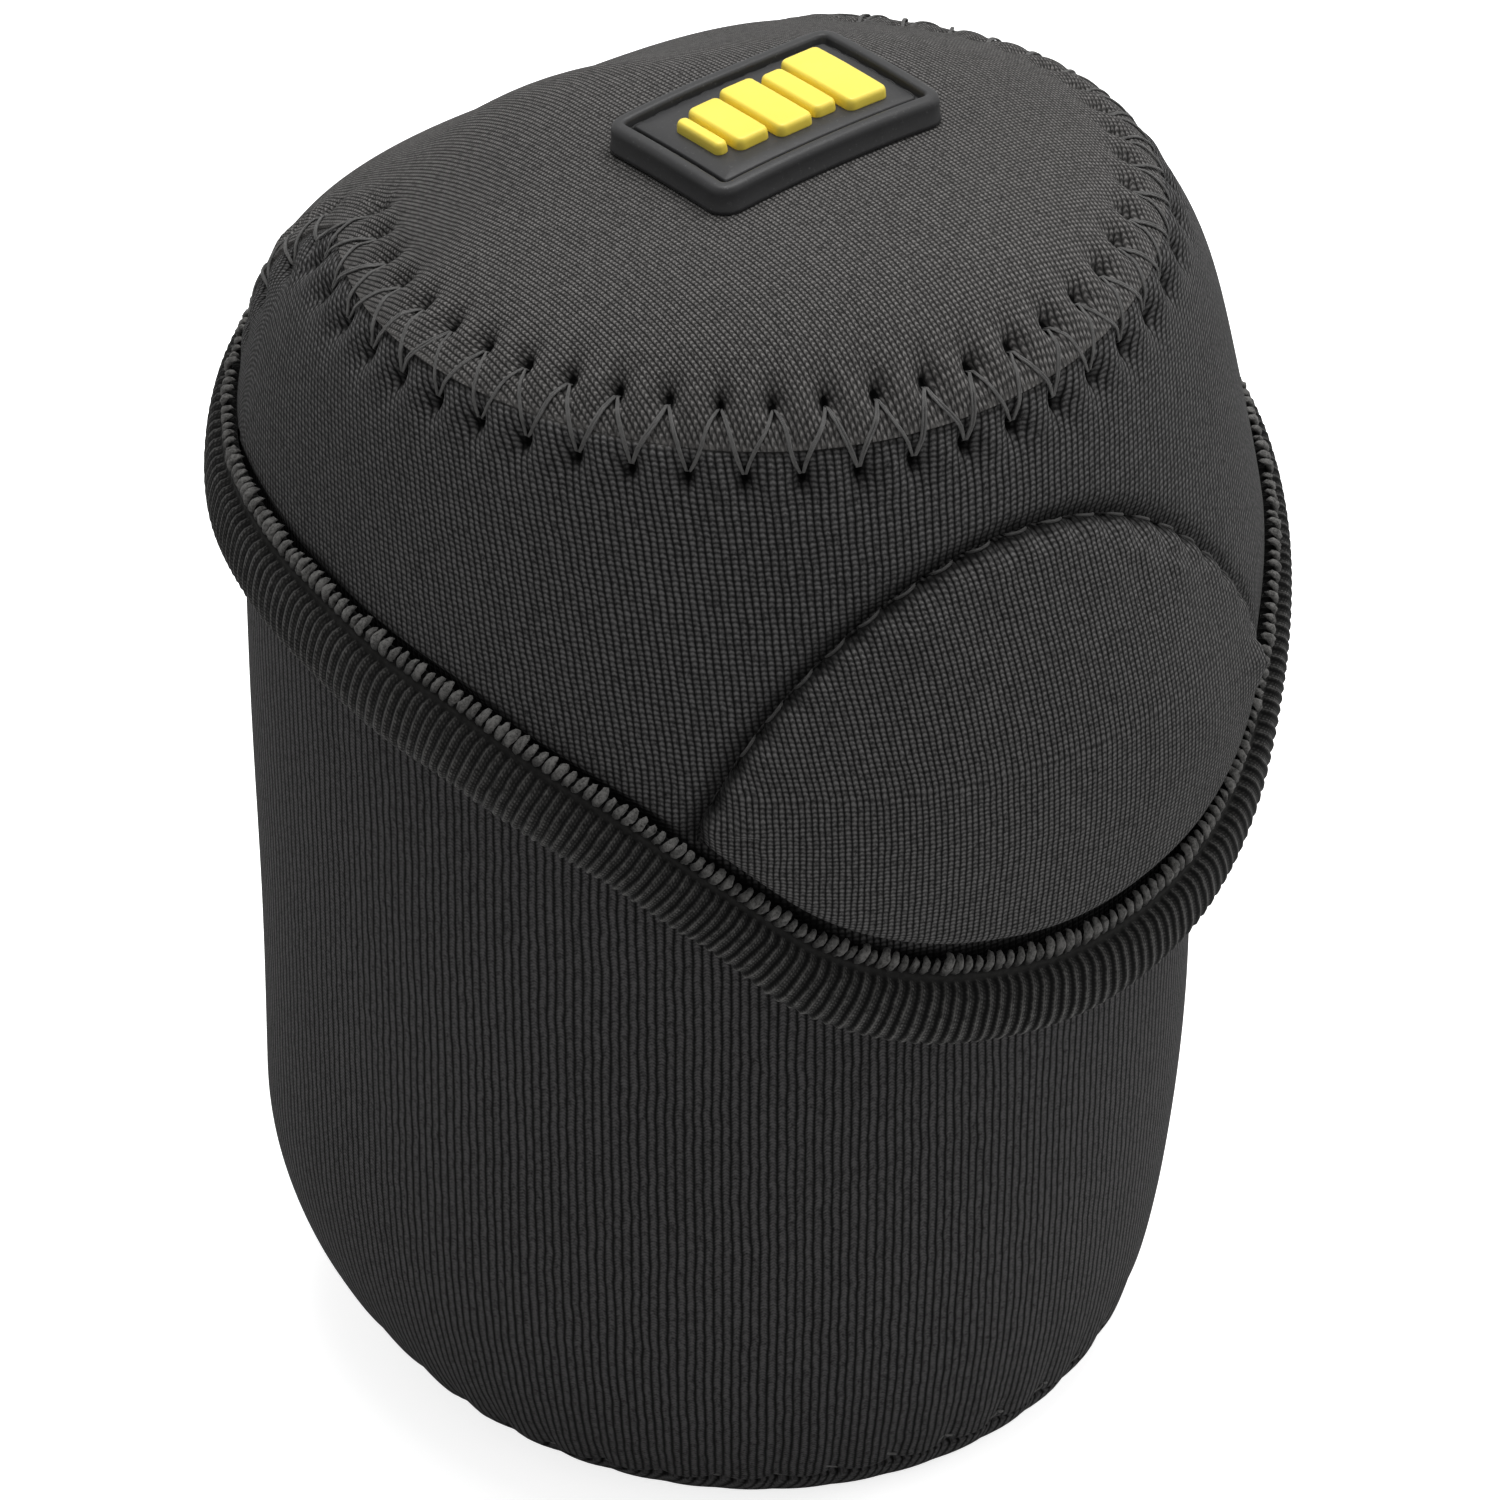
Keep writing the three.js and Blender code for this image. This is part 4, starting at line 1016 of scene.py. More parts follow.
def meridian_length(points):
    """Distance along each column of a grid, counted down from its last point."""
    steps = np.linalg.norm(np.diff(points, axis=1), axis=-1)
    walked = np.concatenate([np.zeros((len(points), 1)), np.cumsum(steps, axis=1)], axis=1)
    return walked - walked[:, -1:]


def uneven(points, size, seed):
    """A gentle unevenness of hand-sewn foam: a few crossed sine waves of about the size given."""
    draw = np.random.default_rng(seed)
    out = np.zeros(points.shape[:-1])
    for _ in range(7):
        wave = draw.normal(size=3)
        wave = wave / np.linalg.norm(wave) * 2 * np.pi / (size * draw.uniform(0.7, 1.6))
        out += np.sin(points @ wave + draw.uniform(0, 2 * np.pi))
    return out / 7

# %% Build the skirt
phi, t, outer = skirt_grid(0)
normal = flap_normal(phi, t)
turn, over = seam_places(outer.reshape(-1, 3), [crown_seam])
skirt_pucker = pucker(turn, over).reshape(t.shape)
tucked = np.exp(-((over.reshape(t.shape) + CUT_DROP) / TUCK_WIDTH) ** 2)
from_pad, _ = distance_to(outer.reshape(-1, 3), np.concatenate([PAD_TOP_LINE, PAD_LOW_LINE]))
tips = np.abs((phi - PAD_CENTRE) / PAD_HALF)
pad_arch = np.interp(phi, *pad_edge_heights)
under_pad = (tips < 1) & (outer[..., 2] < pad_arch) & (outer[..., 2] > pad_bottom(phi))
channel = np.where(under_pad, 1, np.exp(-(from_pad.reshape(t.shape) / CHANNEL_WIDTH) ** 2))
above_bead = outer[..., 2] - edge_height(phi)
channel = channel * (above_bead > 0)
tuck = 1 - smooth((above_bead - GAP_BOTTOM) / GAP_WIDTH)
sway = SWAY * uneven(outer, 38, 3)
lift = skirt_pucker - TUCK_DEPTH * tucked + sway - CHANNEL_DEPTH * channel
lift = np.minimum(lift, mix(lift, -GAP_DEPTH, tuck))
round_arc = np.hypot(outer[..., 0], outer[..., 1] + FLAP_FORWARD) * (phi - SKIRT_GRAIN)
cloth_map = map_of(round_arc, meridian_length(outer))
skirt_points = outer + normal * lift[..., None]
_, _, inner = skirt_grid(FLAP_CLOTH)
inner = inner + normal * (INNER_PUCKER * skirt_pucker)[..., None]
skirt = make_panel("skirt_cloth", skirt_points, inner, cloth_map, skirt_jersey)
made = points_of(skirt)
from_pad, _ = distance_to(made, PAD_TOP_LINE)
above_bead = made[:, 2] - edge_height(np.arctan2(made[:, 0], -made[:, 1] - FLAP_FORWARD))
# Painted shade: the gap above the bead and the channel along the pull's stitched edge are darkened in the
# colour.
gap_shade = 1 - smooth((above_bead - GAP_BOTTOM) / (0.8 * GAP_WIDTH))
channel_shade = 0.9 * np.exp(-(from_pad / (0.8 * CHANNEL_WIDTH)) ** 2)
give_places(skirt, [crown_seam], np.maximum(gap_shade, channel_shade))
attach(skirt, "flap")
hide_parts("flap_skirt")

# %% [markdown]
# The back strip: back panel, hinge and roof in one piece of cloth.
# On the real pouch one strip starts at the base, runs up the back, bends as the hinge and becomes the roof.
# It is one mesh here too, so the knit runs through without a break. The roof is a full disc of columns round
# the apex. Only the columns at the back go on down.

# %% Lay out the back strip
ROOF_COLUMNS = 432
ROOF_ROWS = 56
HINGE_ROWS = 18
HINGE_BEND = 0.4
BACK_ROWS = 56
FALL_START = -2
FALL_LENGTH = 16
STRIP_SPREAD = 0.1
STRIP_COLUMNS = ROOF_COLUMNS * 2 // 9 + 1
strip_phi = np.linspace(math.pi - STRIP_HALF, math.pi + STRIP_HALF, STRIP_COLUMNS)


def roof_share(phi):
    """Where the roof ends: at the crown seam in front and at the top of the hinge behind."""
    turned = np.arctan2(np.sin(phi), np.cos(phi))
    seam = cut_share(np.clip(turned, -SEAM_END, SEAM_END))
    hinge = flap_at_height(phi, HINGE_TOP)
    return np.where(np.abs(turned) <= SEAM_END + 1e-6, seam, hinge)


def roof_grid(depth):
    """The roof from its edge to the apex, for every column round the pouch."""
    phi = strip_phi[0] + 2 * np.pi * np.arange(ROOF_COLUMNS) / ROOF_COLUMNS
    edge = roof_share(phi)
    share = 1 - row_shares(ROOF_ROWS, 1.5)[::-1]
    t = mix(edge[:, None], 1.0, share[None])
    return flap_offset(np.broadcast_to(phi[:, None], t.shape), t, -depth)


def hinge_grid(depth):
    """Rows between the cup's wall and the roof's edge, on a Bezier that leaves both upright."""
    low = wall_point(strip_phi, HINGE_BOTTOM, depth, draw=lambda z: 0)
    share = flap_at_height(strip_phi, HINGE_TOP)
    high = flap_offset(strip_phi, share, -depth * FLAP_CLOTH / WALL)
    rising = (HINGE_TOP - HINGE_BOTTOM) * HINGE_BEND * np.array([0, 0, 1.0])
    s = np.linspace(0, 1, HINGE_ROWS + 1)[None, :-1, None]
    return cubic(s, low[:, None], low[:, None] + rising, high[:, None] - rising, high[:, None])


def back_grid(depth):
    """Rows from the base seam up the foot and the upright wall to the hinge."""
    foot_rows = BACK_ROWS // 2
    share = np.linspace(FOOT_SEAM, 1, foot_rows + 1)
    foot = foot_point(strip_phi[:, None], share[None, :], depth)
    height = foot_height(strip_phi)[:, None]
    rise = np.linspace(0, 1, BACK_ROWS - foot_rows + 1)[None, 1:-1]
    wall = wall_point(strip_phi[:, None], mix(height, HINGE_BOTTOM, rise), depth, draw=lambda z: 0)
    return np.concatenate([foot, wall], axis=1)


def strip_points(depth):
    """All points of one face: first the roof, then the columns of the back under it, bottom row first."""
    return roof_grid(depth * FLAP_CLOTH / WALL), np.concatenate([back_grid(depth), hinge_grid(depth)], axis=1)

# %% Build the back strip
roof, below = strip_points(0)
roof_in, below_in = strip_points(WALL)
below_rows = below.shape[1]
first_below = ROOF_COLUMNS * ROOF_ROWS
roof_faces = lattice(ROOF_COLUMNS, ROOF_ROWS, wrapped=True)
below_faces = first_below + lattice(STRIP_COLUMNS, below_rows)
k = np.arange(STRIP_COLUMNS - 1)
top_of_below = first_below + k * below_rows + below_rows - 1
joining = np.stack([
    top_of_below, top_of_below + below_rows, (k + 1) * ROOF_ROWS, k * ROOF_ROWS,
], -1)
strip_faces = np.concatenate([roof_faces, below_faces, joining])


def strip_map(points):
    """Distances on the strip: across it by x, and along it by y on the roof and by the fall behind."""
    behind = smooth((points[:, 1] - FALL_START) / FALL_LENGTH)
    across = points[:, 0] * (1 + STRIP_SPREAD * (points[:, 0] / SEAM_RADIUS) ** 2)
    return np.stack([across, points[:, 1] + behind * (APEX_HEIGHT - points[:, 2])], -1)


flat_out = np.concatenate([roof.reshape(-1, 3), below.reshape(-1, 3)])
flat_in = np.concatenate([roof_in.reshape(-1, 3), below_in.reshape(-1, 3)])
strip_normal = unit(flat_out - flat_in)
turn, over = seam_places(flat_out, [crown_seam] + side_seams)
folds = pucker(turn, over)
sway = SWAY * uneven(flat_out, 36, 5) * smooth(flat_out[:, 2] / CALM_HEIGHT)
lifted = flat_out + strip_normal * (folds + sway)[:, None]
lined = flat_in + strip_normal * (INNER_PUCKER * folds)[:, None]
apex = np.arange(ROOF_COLUMNS) * ROOF_ROWS + ROOF_ROWS - 1
lifted[apex], lined[apex] = lifted[apex].mean(0), lined[apex].mean(0)
shell = thicken(lifted, lined, strip_faces, strip_faces)
strip = make_object("back_strip_cloth", shell[0], shell[1], roof_jersey, strip_map(flat_out), shell[2])
give_places(strip, [crown_seam] + side_seams)
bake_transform(strip)
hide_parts("back_panel", "hinge_strip", "flap_top")

# %% [markdown]
# The zigzag thread.
# Each stroke of the zigzag is a soft floss of two strands. They lie side by side on the cloth, part a
# little in the middle, and dive into a hole at each end. The strokes are worked out together as one array:
# straight lines between holes in the dome's own angle and share, lifted off the cloth by a bowed height.

# %% Sew the crown seam
THREAD_HEIGHT = 0.2
FLOSS = (0.26, THREAD_HEIGHT)
STRAND_PART = 0.09
STRAND_LEAN = 0.24
DIVE = 0.35
STROKE_STEPS = 17


def thread_finish(name, dark, light):
    """Twisted yarn: a wave that winds round the thread, with fine fibres over it."""
    f = Finish(name, roughness=0.7, sheen=0.05, sheen_roughness=0.4, specular=0.25)
    turn, along = f.cloth_place()
    strand = (turn * 9 + along * 0.5).wave()
    fibres = f.noise(700, 3, 0.7)
    colour = f.mix((strand * 0.45 + fibres * 0.75 - 0.1).clamped(), dark, light)
    return f.finish(colour, strand + fibres * 0.4, depth=0.05)


def two_strands(paths, ups, seed=8):
    """Each path twice, moved aside: the pair parts in the middle by a sine, a little unlike for every
    stroke.
    """
    draw = np.random.default_rng(seed)
    s = np.linspace(0, 1, paths.shape[1])[None]
    part = STRAND_PART * draw.uniform(0.5, 1.7, (len(paths), 1)) * np.sin(np.pi * s) ** 0.6
    lean = STRAND_LEAN * draw.uniform(-1, 1, (len(paths), 1)) * np.sin(2 * np.pi * s)
    aside = unit(np.cross(unit(np.gradient(paths, axis=1)), ups))
    pair = [paths + aside * (way * part + lean)[..., None] for way in (1, -1)]
    return np.concatenate(pair), np.concatenate([ups, ups])


thread = thread_finish("sewing_thread", (0.02, 0.02, 0.02), (0.26, 0.256, 0.25))
hole_turn = np.arange(crown_seam["strokes"]) + 0.5
hole_side = np.where(np.arange(crown_seam["strokes"]) % 2, 1.0, -1.0)
hole_phi = np.interp(hole_turn, crown_seam["turns"], SEAM_PHI)
hole_across = unit(read_off(hole_turn, crown_seam["turns"], SEAM_ACROSS))
hole_phi, hole_t = walk_on_flap(
    hole_phi, crown_seam_share(hole_phi), hole_across, hole_side * STITCH_WIDTH / 2,
)
s = np.linspace(0, 1, STROKE_STEPS)
bow = np.sin(np.pi * s) ** 0.8
phi = mix(hole_phi[:-1, None], hole_phi[1:, None], s[None])
t = mix(hole_t[:-1, None], hole_t[1:, None], s[None])
on_cloth = flap_point(phi, t)
under = pucker(*seam_places(on_cloth.reshape(-1, 3), [crown_seam])).reshape(t.shape)
height = np.maximum(under, -0.5) + THREAD_HEIGHT * 0.5 + 0.08
height = mix(under - DIVE, height, np.clip(bow * 3.2, 0, 1))
crown_ups = flap_normal(phi, t)
crown_paths = on_cloth + crown_ups * height[..., None]
crown_paths, crown_ups = two_strands(crown_paths, crown_ups)
crown_thread = sew("crown_seam_stitches", "flap", crown_paths, crown_ups, FLOSS, thread)
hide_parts("crown_seam_thread")

# %% [markdown]
# The cup's wall.
# The wall is one curved panel from the back strip round the front to the strip's other side. It is drawn in
# at the mouth, stands upright and curls under at the foot, where the base seam pulls it into small
# scallops.

# %% Build the cup's wall
WALL_COLUMNS = 561
WALL_HALF = math.radians(140)
WALL_GAP = 0.1
FOOT_ROWS = 40
SCALLOP_PITCH = 6.4
SCALLOP_DEPTH = 0.6
SCALLOP_REACH = 0.28
WALL_SWAY = 0.45
CALM_AT_MOUTH = 12
NECK_SHARE = 0.72
wall_heights = np.concatenate([
    NECK_SHARE * np.linspace(0, 1, 28)[1:], NECK_SHARE + (1 - NECK_SHARE) * np.linspace(0, 1, 22)[1:],
])


def base_scallop(phi, share):
    """Waves that the base seam pulls into the foot: they fade out towards the upright wall."""
    walked = phi * BODY_RADIUS
    fade = np.clip(1 - (share - FOOT_SEAM) / SCALLOP_REACH, 0, 1) ** 1.6
    wave = np.abs(np.sin(np.pi * walked / SCALLOP_PITCH)) ** 0.8
    return SCALLOP_DEPTH * (wave - 0.75) * fade


def wall_grid(depth):
    """The wall's columns round the cup, its points up the foot and the wall, and the scallops' height."""
    half = WALL_HALF - WALL_GAP / BODY_RADIUS
    phi = np.linspace(-half, half, WALL_COLUMNS)
    share = FOOT_SEAM + (1 - FOOT_SEAM) * np.linspace(0, 1, FOOT_ROWS) ** 1.2
    foot = foot_point(phi[:, None], share[None], depth)
    top = foot_height(phi)[:, None]
    wall = wall_point(phi[:, None], mix(top, MOUTH_HEIGHT, wall_heights[None]), depth)
    scallop = np.concatenate([
        base_scallop(phi[:, None], share[None]), np.zeros((WALL_COLUMNS, wall.shape[1])),
    ], axis=1)
    return phi, np.concatenate([foot, wall], axis=1), scallop


phi, outer, scallop = wall_grid(0)
_, inner, _ = wall_grid(WALL)
out = unit(outer - inner)
lift = scallop + WALL_SWAY * uneven(outer, 42, 11) * smooth((outer[..., 2] - BASE) / CALM_HEIGHT)
lift = lift * smooth((MOUTH_HEIGHT - outer[..., 2]) / CALM_AT_MOUTH)
turn, over = seam_places(outer.reshape(-1, 3), side_seams)
lift = lift + pucker(turn, over).reshape(lift.shape)
cloth_map = map_of(phi[:, None] * BODY_RADIUS, meridian_length(outer))
wall = make_panel("cup_wall_cloth", outer + out * lift[..., None], inner, cloth_map, wall_jersey)
give_places(wall, side_seams)
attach(wall, "cup")
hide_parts("body_wall")

# %% [markdown]
# The base.
# The base is a round piece of the same cloth that turns up to meet the wall. It lies flat where the pouch
# stands. Its rim follows the scallops of the seam. Underneath, its knit runs straight across.

# %% Build the base
BASE_COLUMNS = 300
BASE_ROWS = 26
BASE_FLAT = 0.62


def base_grid(depth):
    """The base: flat from its middle on, then up the foot's curve to just under the seam."""
    phi = 2 * np.pi * np.arange(BASE_COLUMNS) / BASE_COLUMNS - np.pi
    v = np.linspace(0, 1, BASE_ROWS)
    turned_up = np.clip((v - BASE_FLAT) / (1 - BASE_FLAT), 0, 1)
    rim = foot_point(phi[:, None], (FOOT_SEAM - 0.02) * turned_up[None], depth)
    flat = np.clip(v / BASE_FLAT, 0, 1)[None, :, None]
    return phi, np.concatenate([rim[..., :2] * flat, rim[..., 2:]], axis=-1)


phi, outer = base_grid(0)
_, inner = base_grid(WALL)
rise = np.clip(np.linspace(0, 1, BASE_ROWS) - BASE_FLAT, 0, 1) / (1 - BASE_FLAT)
wave = base_scallop(phi[:, None], np.full((1, BASE_ROWS), FOOT_SEAM)) * (rise ** 2)[None]
outward = outer * np.array([1, 1, 0]) / np.maximum(np.hypot(outer[..., 0], outer[..., 1]), 1e-6)[..., None]
outer = outer + outward * wave[..., None]
base_map = np.concatenate([outer[..., :2], outer[:1, :, :2]], axis=0)
base = make_panel("base_cloth", outer, inner, base_map, base_jersey, wrapped=True)
store(base, shade=0)
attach(base, "cup")
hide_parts("base_panel")

# %% [markdown]
# Stitches on the cup.
# The same zigzag closes the two side seams, where the wall meets the back strip, and a small one lies in
# the crease of the base seam. The function takes a line on the cup, the way across it and the way out of
# it, and lays the strokes as arcs over the seam.

# %% Sew the cup's seams
BASE_STITCH_WIDTH = 2.6
STITCH_STEPS = 9


def running_stitches(line, pitch, gap):
    """Running stitches along a flat line: both coordinates of a row of places for each stitch, and how far
    each place stands up, from 0 to 1. The gap is the share of the pitch that is left free at each end.
    """
    walked, share = walked_along(line), np.linspace(0, 1, STITCH_STEPS)
    count = round(walked[-1] / pitch)
    at = (np.arange(count)[:, None] + mix(gap, 1 - gap, share)) / count * walked[-1]
    places = read_off(at, walked, line)
    return places[..., 0], places[..., 1], np.sin(np.pi * share) ** 0.6


def zigzag_over(line, normals, strokes, width, sunk=0.0, dive=0.7, closed=False):
    """Paths of a zigzag's strokes over a line of points, with the way out of the cloth at each stroke."""
    walked = walked_along(line)
    at = walked[-1] * (np.arange(strokes + closed) + (0 if closed else 0.5)) / strokes
    centre, normal = read_off(at, walked, line), unit(read_off(at, walked, normals))
    along = unit(np.stack([np.gradient(line[:, k], walked) for k in range(3)], -1))
    across = unit(np.cross(normal, read_off(at, walked, along)))
    side = np.where(np.arange(strokes + closed) % 2, 1.0, -1.0)[:, None]
    holes = centre + across * side * width / 2
    s = np.linspace(0, 1, STROKE_STEPS)[None, :, None]
    paths = mix(holes[:-1, None], holes[1:, None], s)
    ups = unit(mix(normal[:-1, None], normal[1:, None], s))
    lift = np.clip(np.sin(np.pi * s) * 2.4, 0, 1)
    return paths + ups * mix(-dive, THREAD_HEIGHT * 0.5 + 0.2 - sunk, lift), ups


phi = np.linspace(-np.pi, np.pi, 721)
base_line = foot_point(phi, FOOT_SEAM, 0.0)
base_normal = unit(base_line - foot_point(phi, FOOT_SEAM, 1.0))
base_round = np.linalg.norm(np.diff(base_line, axis=0), axis=1).sum()
base_strokes = 2 * round(base_round / SCALLOP_PITCH)
base_paths, base_ups = zigzag_over(
    base_line, base_normal, base_strokes, BASE_STITCH_WIDTH, sunk=0.75, closed=True,
)
sew("base_seam_stitches", "cup", base_paths, base_ups, (0.4, 0.26), thread)

side_names = ("left_side_stitches", "right_side_stitches")
for name, (line, normals), seam in zip(side_names, side_lines, side_seams):
    side_dive = HOLE_DEPTH + SWELL + DIVE
    paths, ups = two_strands(*zigzag_over(line, normals, seam["strokes"], STITCH_WIDTH, dive=side_dive))
    sew(name, "cup", paths, ups, FLOSS, thread)

# %% [markdown]
# The ribbed binding.
# A thick elastic tape is folded round the skirt's edge. Knitted ribs run across it, a millimetre apart, and
# each ends below in a small loop, so the lower outline is finely toothed. Above the ribs runs a narrow
# plain lip, and above that a bead of small knitted loops. A section is carried along the edge, and a wave
# along the way swells and narrows it, so every rib is real.

# %% Count the ribs
RIB_PITCH = 1.06
RIB_HEIGHT = 0.22
POINTS_A_RIB = 8
BAND_DEPTH = 2.4
UPRIGHT_END = 0.3


def rib_rise(turns):
    """How far the tape stands up, from 0 between ribs to 1, by the ribs walked over."""
    return (0.5 - 0.5 * np.cos(2 * np.pi * turns)) ** 0.7


edge_phi = np.linspace(-SKIRT_HALF, SKIRT_HALF, 1601)
edge_line = flap_point(edge_phi, flap_at_height(edge_phi, edge_height(edge_phi)))
edge_along = unit(np.gradient(edge_line, axis=0))
edge_walked = walked_along(edge_line)
rib_count = round(edge_walked[-1] / RIB_PITCH)
rib_steps = rib_count * POINTS_A_RIB + 1
rib_walked = np.linspace(0, edge_walked[-1], rib_steps)
rib_phi = np.interp(rib_walked, edge_walked, edge_phi)
rib_wave = rib_rise(rib_walked / edge_walked[-1] * rib_count)
print(rib_count, "ribs along", round(float(edge_walked[-1]), 1), "mm of edge")

# %% Make the tape's finish
def tape_finish():
    """Ribbed tape: each rib is a ridge of fine net with one bright thread along it and a black valley
    beside it.
    """
    f = Finish("ribbed_tape", roughness=0.85, sheen=0.08, sheen_roughness=0.4, specular=0.1)
    along, across = f.cloth_place()
    ribs = f.attribute("rib")
    turn = along / RIB_PITCH + (f.noise(500, 1) - 0.5) * 0.25
    place = turn.fraction()
    leg = (place - 0.5).absolute() * 2
    valley = (1 - leg).hump(0.5)
    line = (place - 0.3).hump(0.08)
    net = (turn * 3).wave() * (across / 0.42 + place * 1.5 + (f.noise(600, 1) - 0.5) * 0.8).wave()
    wool = f.noise(1500, 2, 0.75)
    height = (1 - valley) * (net * 0.6 + line * 0.7 + 0.14)
    # Painted light from the piece's channel: light on the lower roll, painted shade under the lip and on the
    # bead's core.
    bright = f.attribute("loop")
    tone = (height * (wool * 3 - 0.6) * (bright + 0.5)).clamped()
    plain = (wool * 0.28 + 0.02).clamped()
    shown = tone * ribs + plain * (1 - ribs)
    colour = f.mix(shown.clamped(), (0.0015, 0.0015, 0.0015), (0.112, 0.11, 0.106))
    return f.finish(colour, height * ribs + wool * 0.3, depth=0.14)


tape = tape_finish()

# %% Carry a section along the edge
# Outer section of the tape: shares of its depth and of its height, from the lip under the bead to the roll
TAPE_SECTION = np.array([
    (0.1, -0.01), (0.3, -0.025), (0.42, 0.0), (0.47, 0.035), (0.44, 0.07), (0.55, 0.1), (0.78, 0.14),
    (0.93, 0.23), (1.0, 0.36), (1.02, 0.5), (1.0, 0.64), (0.92, 0.78), (0.78, 0.885), (0.56, 0.955),
    (0.24, 1.0), (-0.2, 1.005), (-0.75, 0.99), (-1.1, 0.94), (-1.34, 0.86), (-1.42, 0.7), (-1.42, 0.45),
    (-1.38, 0.2),
])
LIP_POINTS = 5
# Painted light on the ribs, by the point of the section: painted shade under the lip, most light on the lower
# roll
ROLL_LIGHT = ([5, 9, 13, 16, 20], [-0.3, 0.1, 0.7, 1.1, 0.3])


def carry_section(section, drop, swell):
    """Points of a section carried along the edge: each lies as far below the edge as its drop, square to
    the edge, and stands out from the dome. At the two ends the way down turns upright, clear of the
    hinge.
    """
    start = (rib_phi[:, None], flap_at_height(rib_phi, edge_height(rib_phi))[:, None])
    along = read_off(rib_phi, edge_phi, edge_along)
    falling = unit(np.cross(flap_normal(*start)[:, 0], along))
    falling = falling * np.sign(-falling[:, 2:])
    upright = smooth((SKIRT_HALF - np.abs(rib_phi)) / UPRIGHT_END)[:, None]
    falling = unit(mix(np.array([0, 0, -1.0]), falling, upright))
    distance = -falling[:, 2:] * (section[None, :, 1] + drop)
    start = [np.broadcast_to(part, distance.shape) for part in start]
    phi, share = walk_on_flap(*start, falling[:, None], distance)
    base = flap_point(phi, share)
    normal = flap_normal(phi, share)
    middle = section.mean(0)
    away = section - middle
    away = away / np.maximum(np.linalg.norm(away, axis=1, keepdims=True), 1e-6)
    out = section[None, :, 0] + swell[:, None] * away[None, :, 0]
    down = swell[:, None] * away[None, :, 1]
    return base + normal * out[..., None] + down[..., None] * falling[:, None]


def closed_bar(name, rings, cloth_map, finish):
    """A bar from rings of points along a way, closed by a fan to the middle of each end."""
    steps, sides = rings.shape[:2]
    cells, faces = tube_cells(steps, sides)
    ends = np.concatenate([rings[:1].mean(1), rings[-1:].mean(1)])
    points = np.concatenate([rings.reshape(-1, 3), ends])
    here = np.arange(sides)
    ahead, apex = (here + 1) % sides, np.full(sides, steps * sides)
    last = (steps - 1) * sides
    first_fan = np.stack([here, ahead, apex, apex], -1)
    last_fan = np.stack([last + ahead, last + here, apex + 1, apex + 1], -1)
    places = np.concatenate([cells, np.zeros((2 * sides, 4), int)])
    faces = np.concatenate([faces, first_fan, last_fan])
    return make_object(name, points, faces, finish, cloth_map, places, weld=False)


def tape_bar(name, rings, walked, rib, loop):
    """A bar of tape from its rings and the distance walked to each of them. Values round the section, or
    one for all of it, say where it is ribbed and how much painted light brightens it.
    """
    around = walked_along(np.concatenate([rings[0], rings[0][:1]]))
    piece = closed_bar(name, rings, map_of(walked[:, None], around).reshape(-1, 2), tape)
    rib, loop = (np.append(np.broadcast_to(values, rings.shape[:2]), [0, 0]) for values in (rib, loop))
    store(piece, rib=rib, loop=loop)
    return piece

# %% Build the binding
section = TAPE_SECTION * np.array([BAND_DEPTH, BAND_HEIGHT])
inside = -FLAP_CLOTH - 0.25
leaf = np.array([(inside, 0.2), (inside, 0.84), (0.15, 0.84)]) * np.array([1, BAND_HEIGHT])
section = np.concatenate([section, leaf])
place = np.arange(len(section))
ribbed = np.where((place >= LIP_POINTS) & (place < len(TAPE_SECTION)), 1.0, 0.0)
looped = np.interp(place, *ROLL_LIGHT)
rings = carry_section(section, BAND_TOP_DROP, np.zeros(rib_steps))
swollen = carry_section(section, BAND_TOP_DROP, RIB_HEIGHT * (rib_wave - 0.6))
# The same share of painted light also lets the ribs swell more on the roll.
rings = mix(rings, swollen, (ribbed * (1 + 0.4 * looped))[None, :, None])
binding = tape_bar("flap_binding_tape", rings[:, ::-1], rib_walked, ribbed[::-1], 0.45 + looped[::-1])
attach(binding, "flap")
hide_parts("flap_binding")

# %% [markdown]
# The bead of loops.
# Above the lip the tape's own loops stand up in a row, one to a rib. Each is a tuft: a stem that leans out
# of the lip, darkened as painted shade under the head, and a pale fluffy head that curls back to the cloth.
# A thin core runs under them, darkened as painted shade, and every tuft is a little unlike the next, so the
# row is toothed and never smooth.

# %% Build the bead's core
CORE_OUT = 0.35
CORE_DROP = 0.75
CORE_HALF = (0.6, 0.62)
core_turn = np.linspace(0, 2 * np.pi, 13)[:-1]
core_section = np.stack([
    CORE_OUT + np.cos(core_turn) * CORE_HALF[0], CORE_DROP + np.sin(core_turn) * CORE_HALF[1],
], -1)
core_rings = carry_section(core_section[::-1], 0, np.zeros(rib_steps))
# The core is darkened as painted shade under the tufts.
core = tape_bar("flap_binding_bead", core_rings, rib_walked, 1, -0.35)
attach(core, "flap")
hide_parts("edge_cord")

# %% Stand the loops up
# A tuft's path from the lip over its head: millimetres below the edge, and out from the dome
TUFT_PATH = np.array([
    (1.35, 0.4), (1.2, 0.72), (0.95, 0.92), (0.65, 1.04), (0.3, 1.12), (-0.05, 1.1), (-0.38, 0.92),
    (-0.6, 0.6), (-0.62, 0.15),
])
TUFT_WIDTHS = np.array([0.5, 0.66, 0.74, 0.8, 0.86, 0.86, 0.76, 0.56, 0.36])
TUFT_LEAN = 0.5
TUFT_SIDES = 9
STEM_LENGTH = 0.55
FLUFF = 0.05


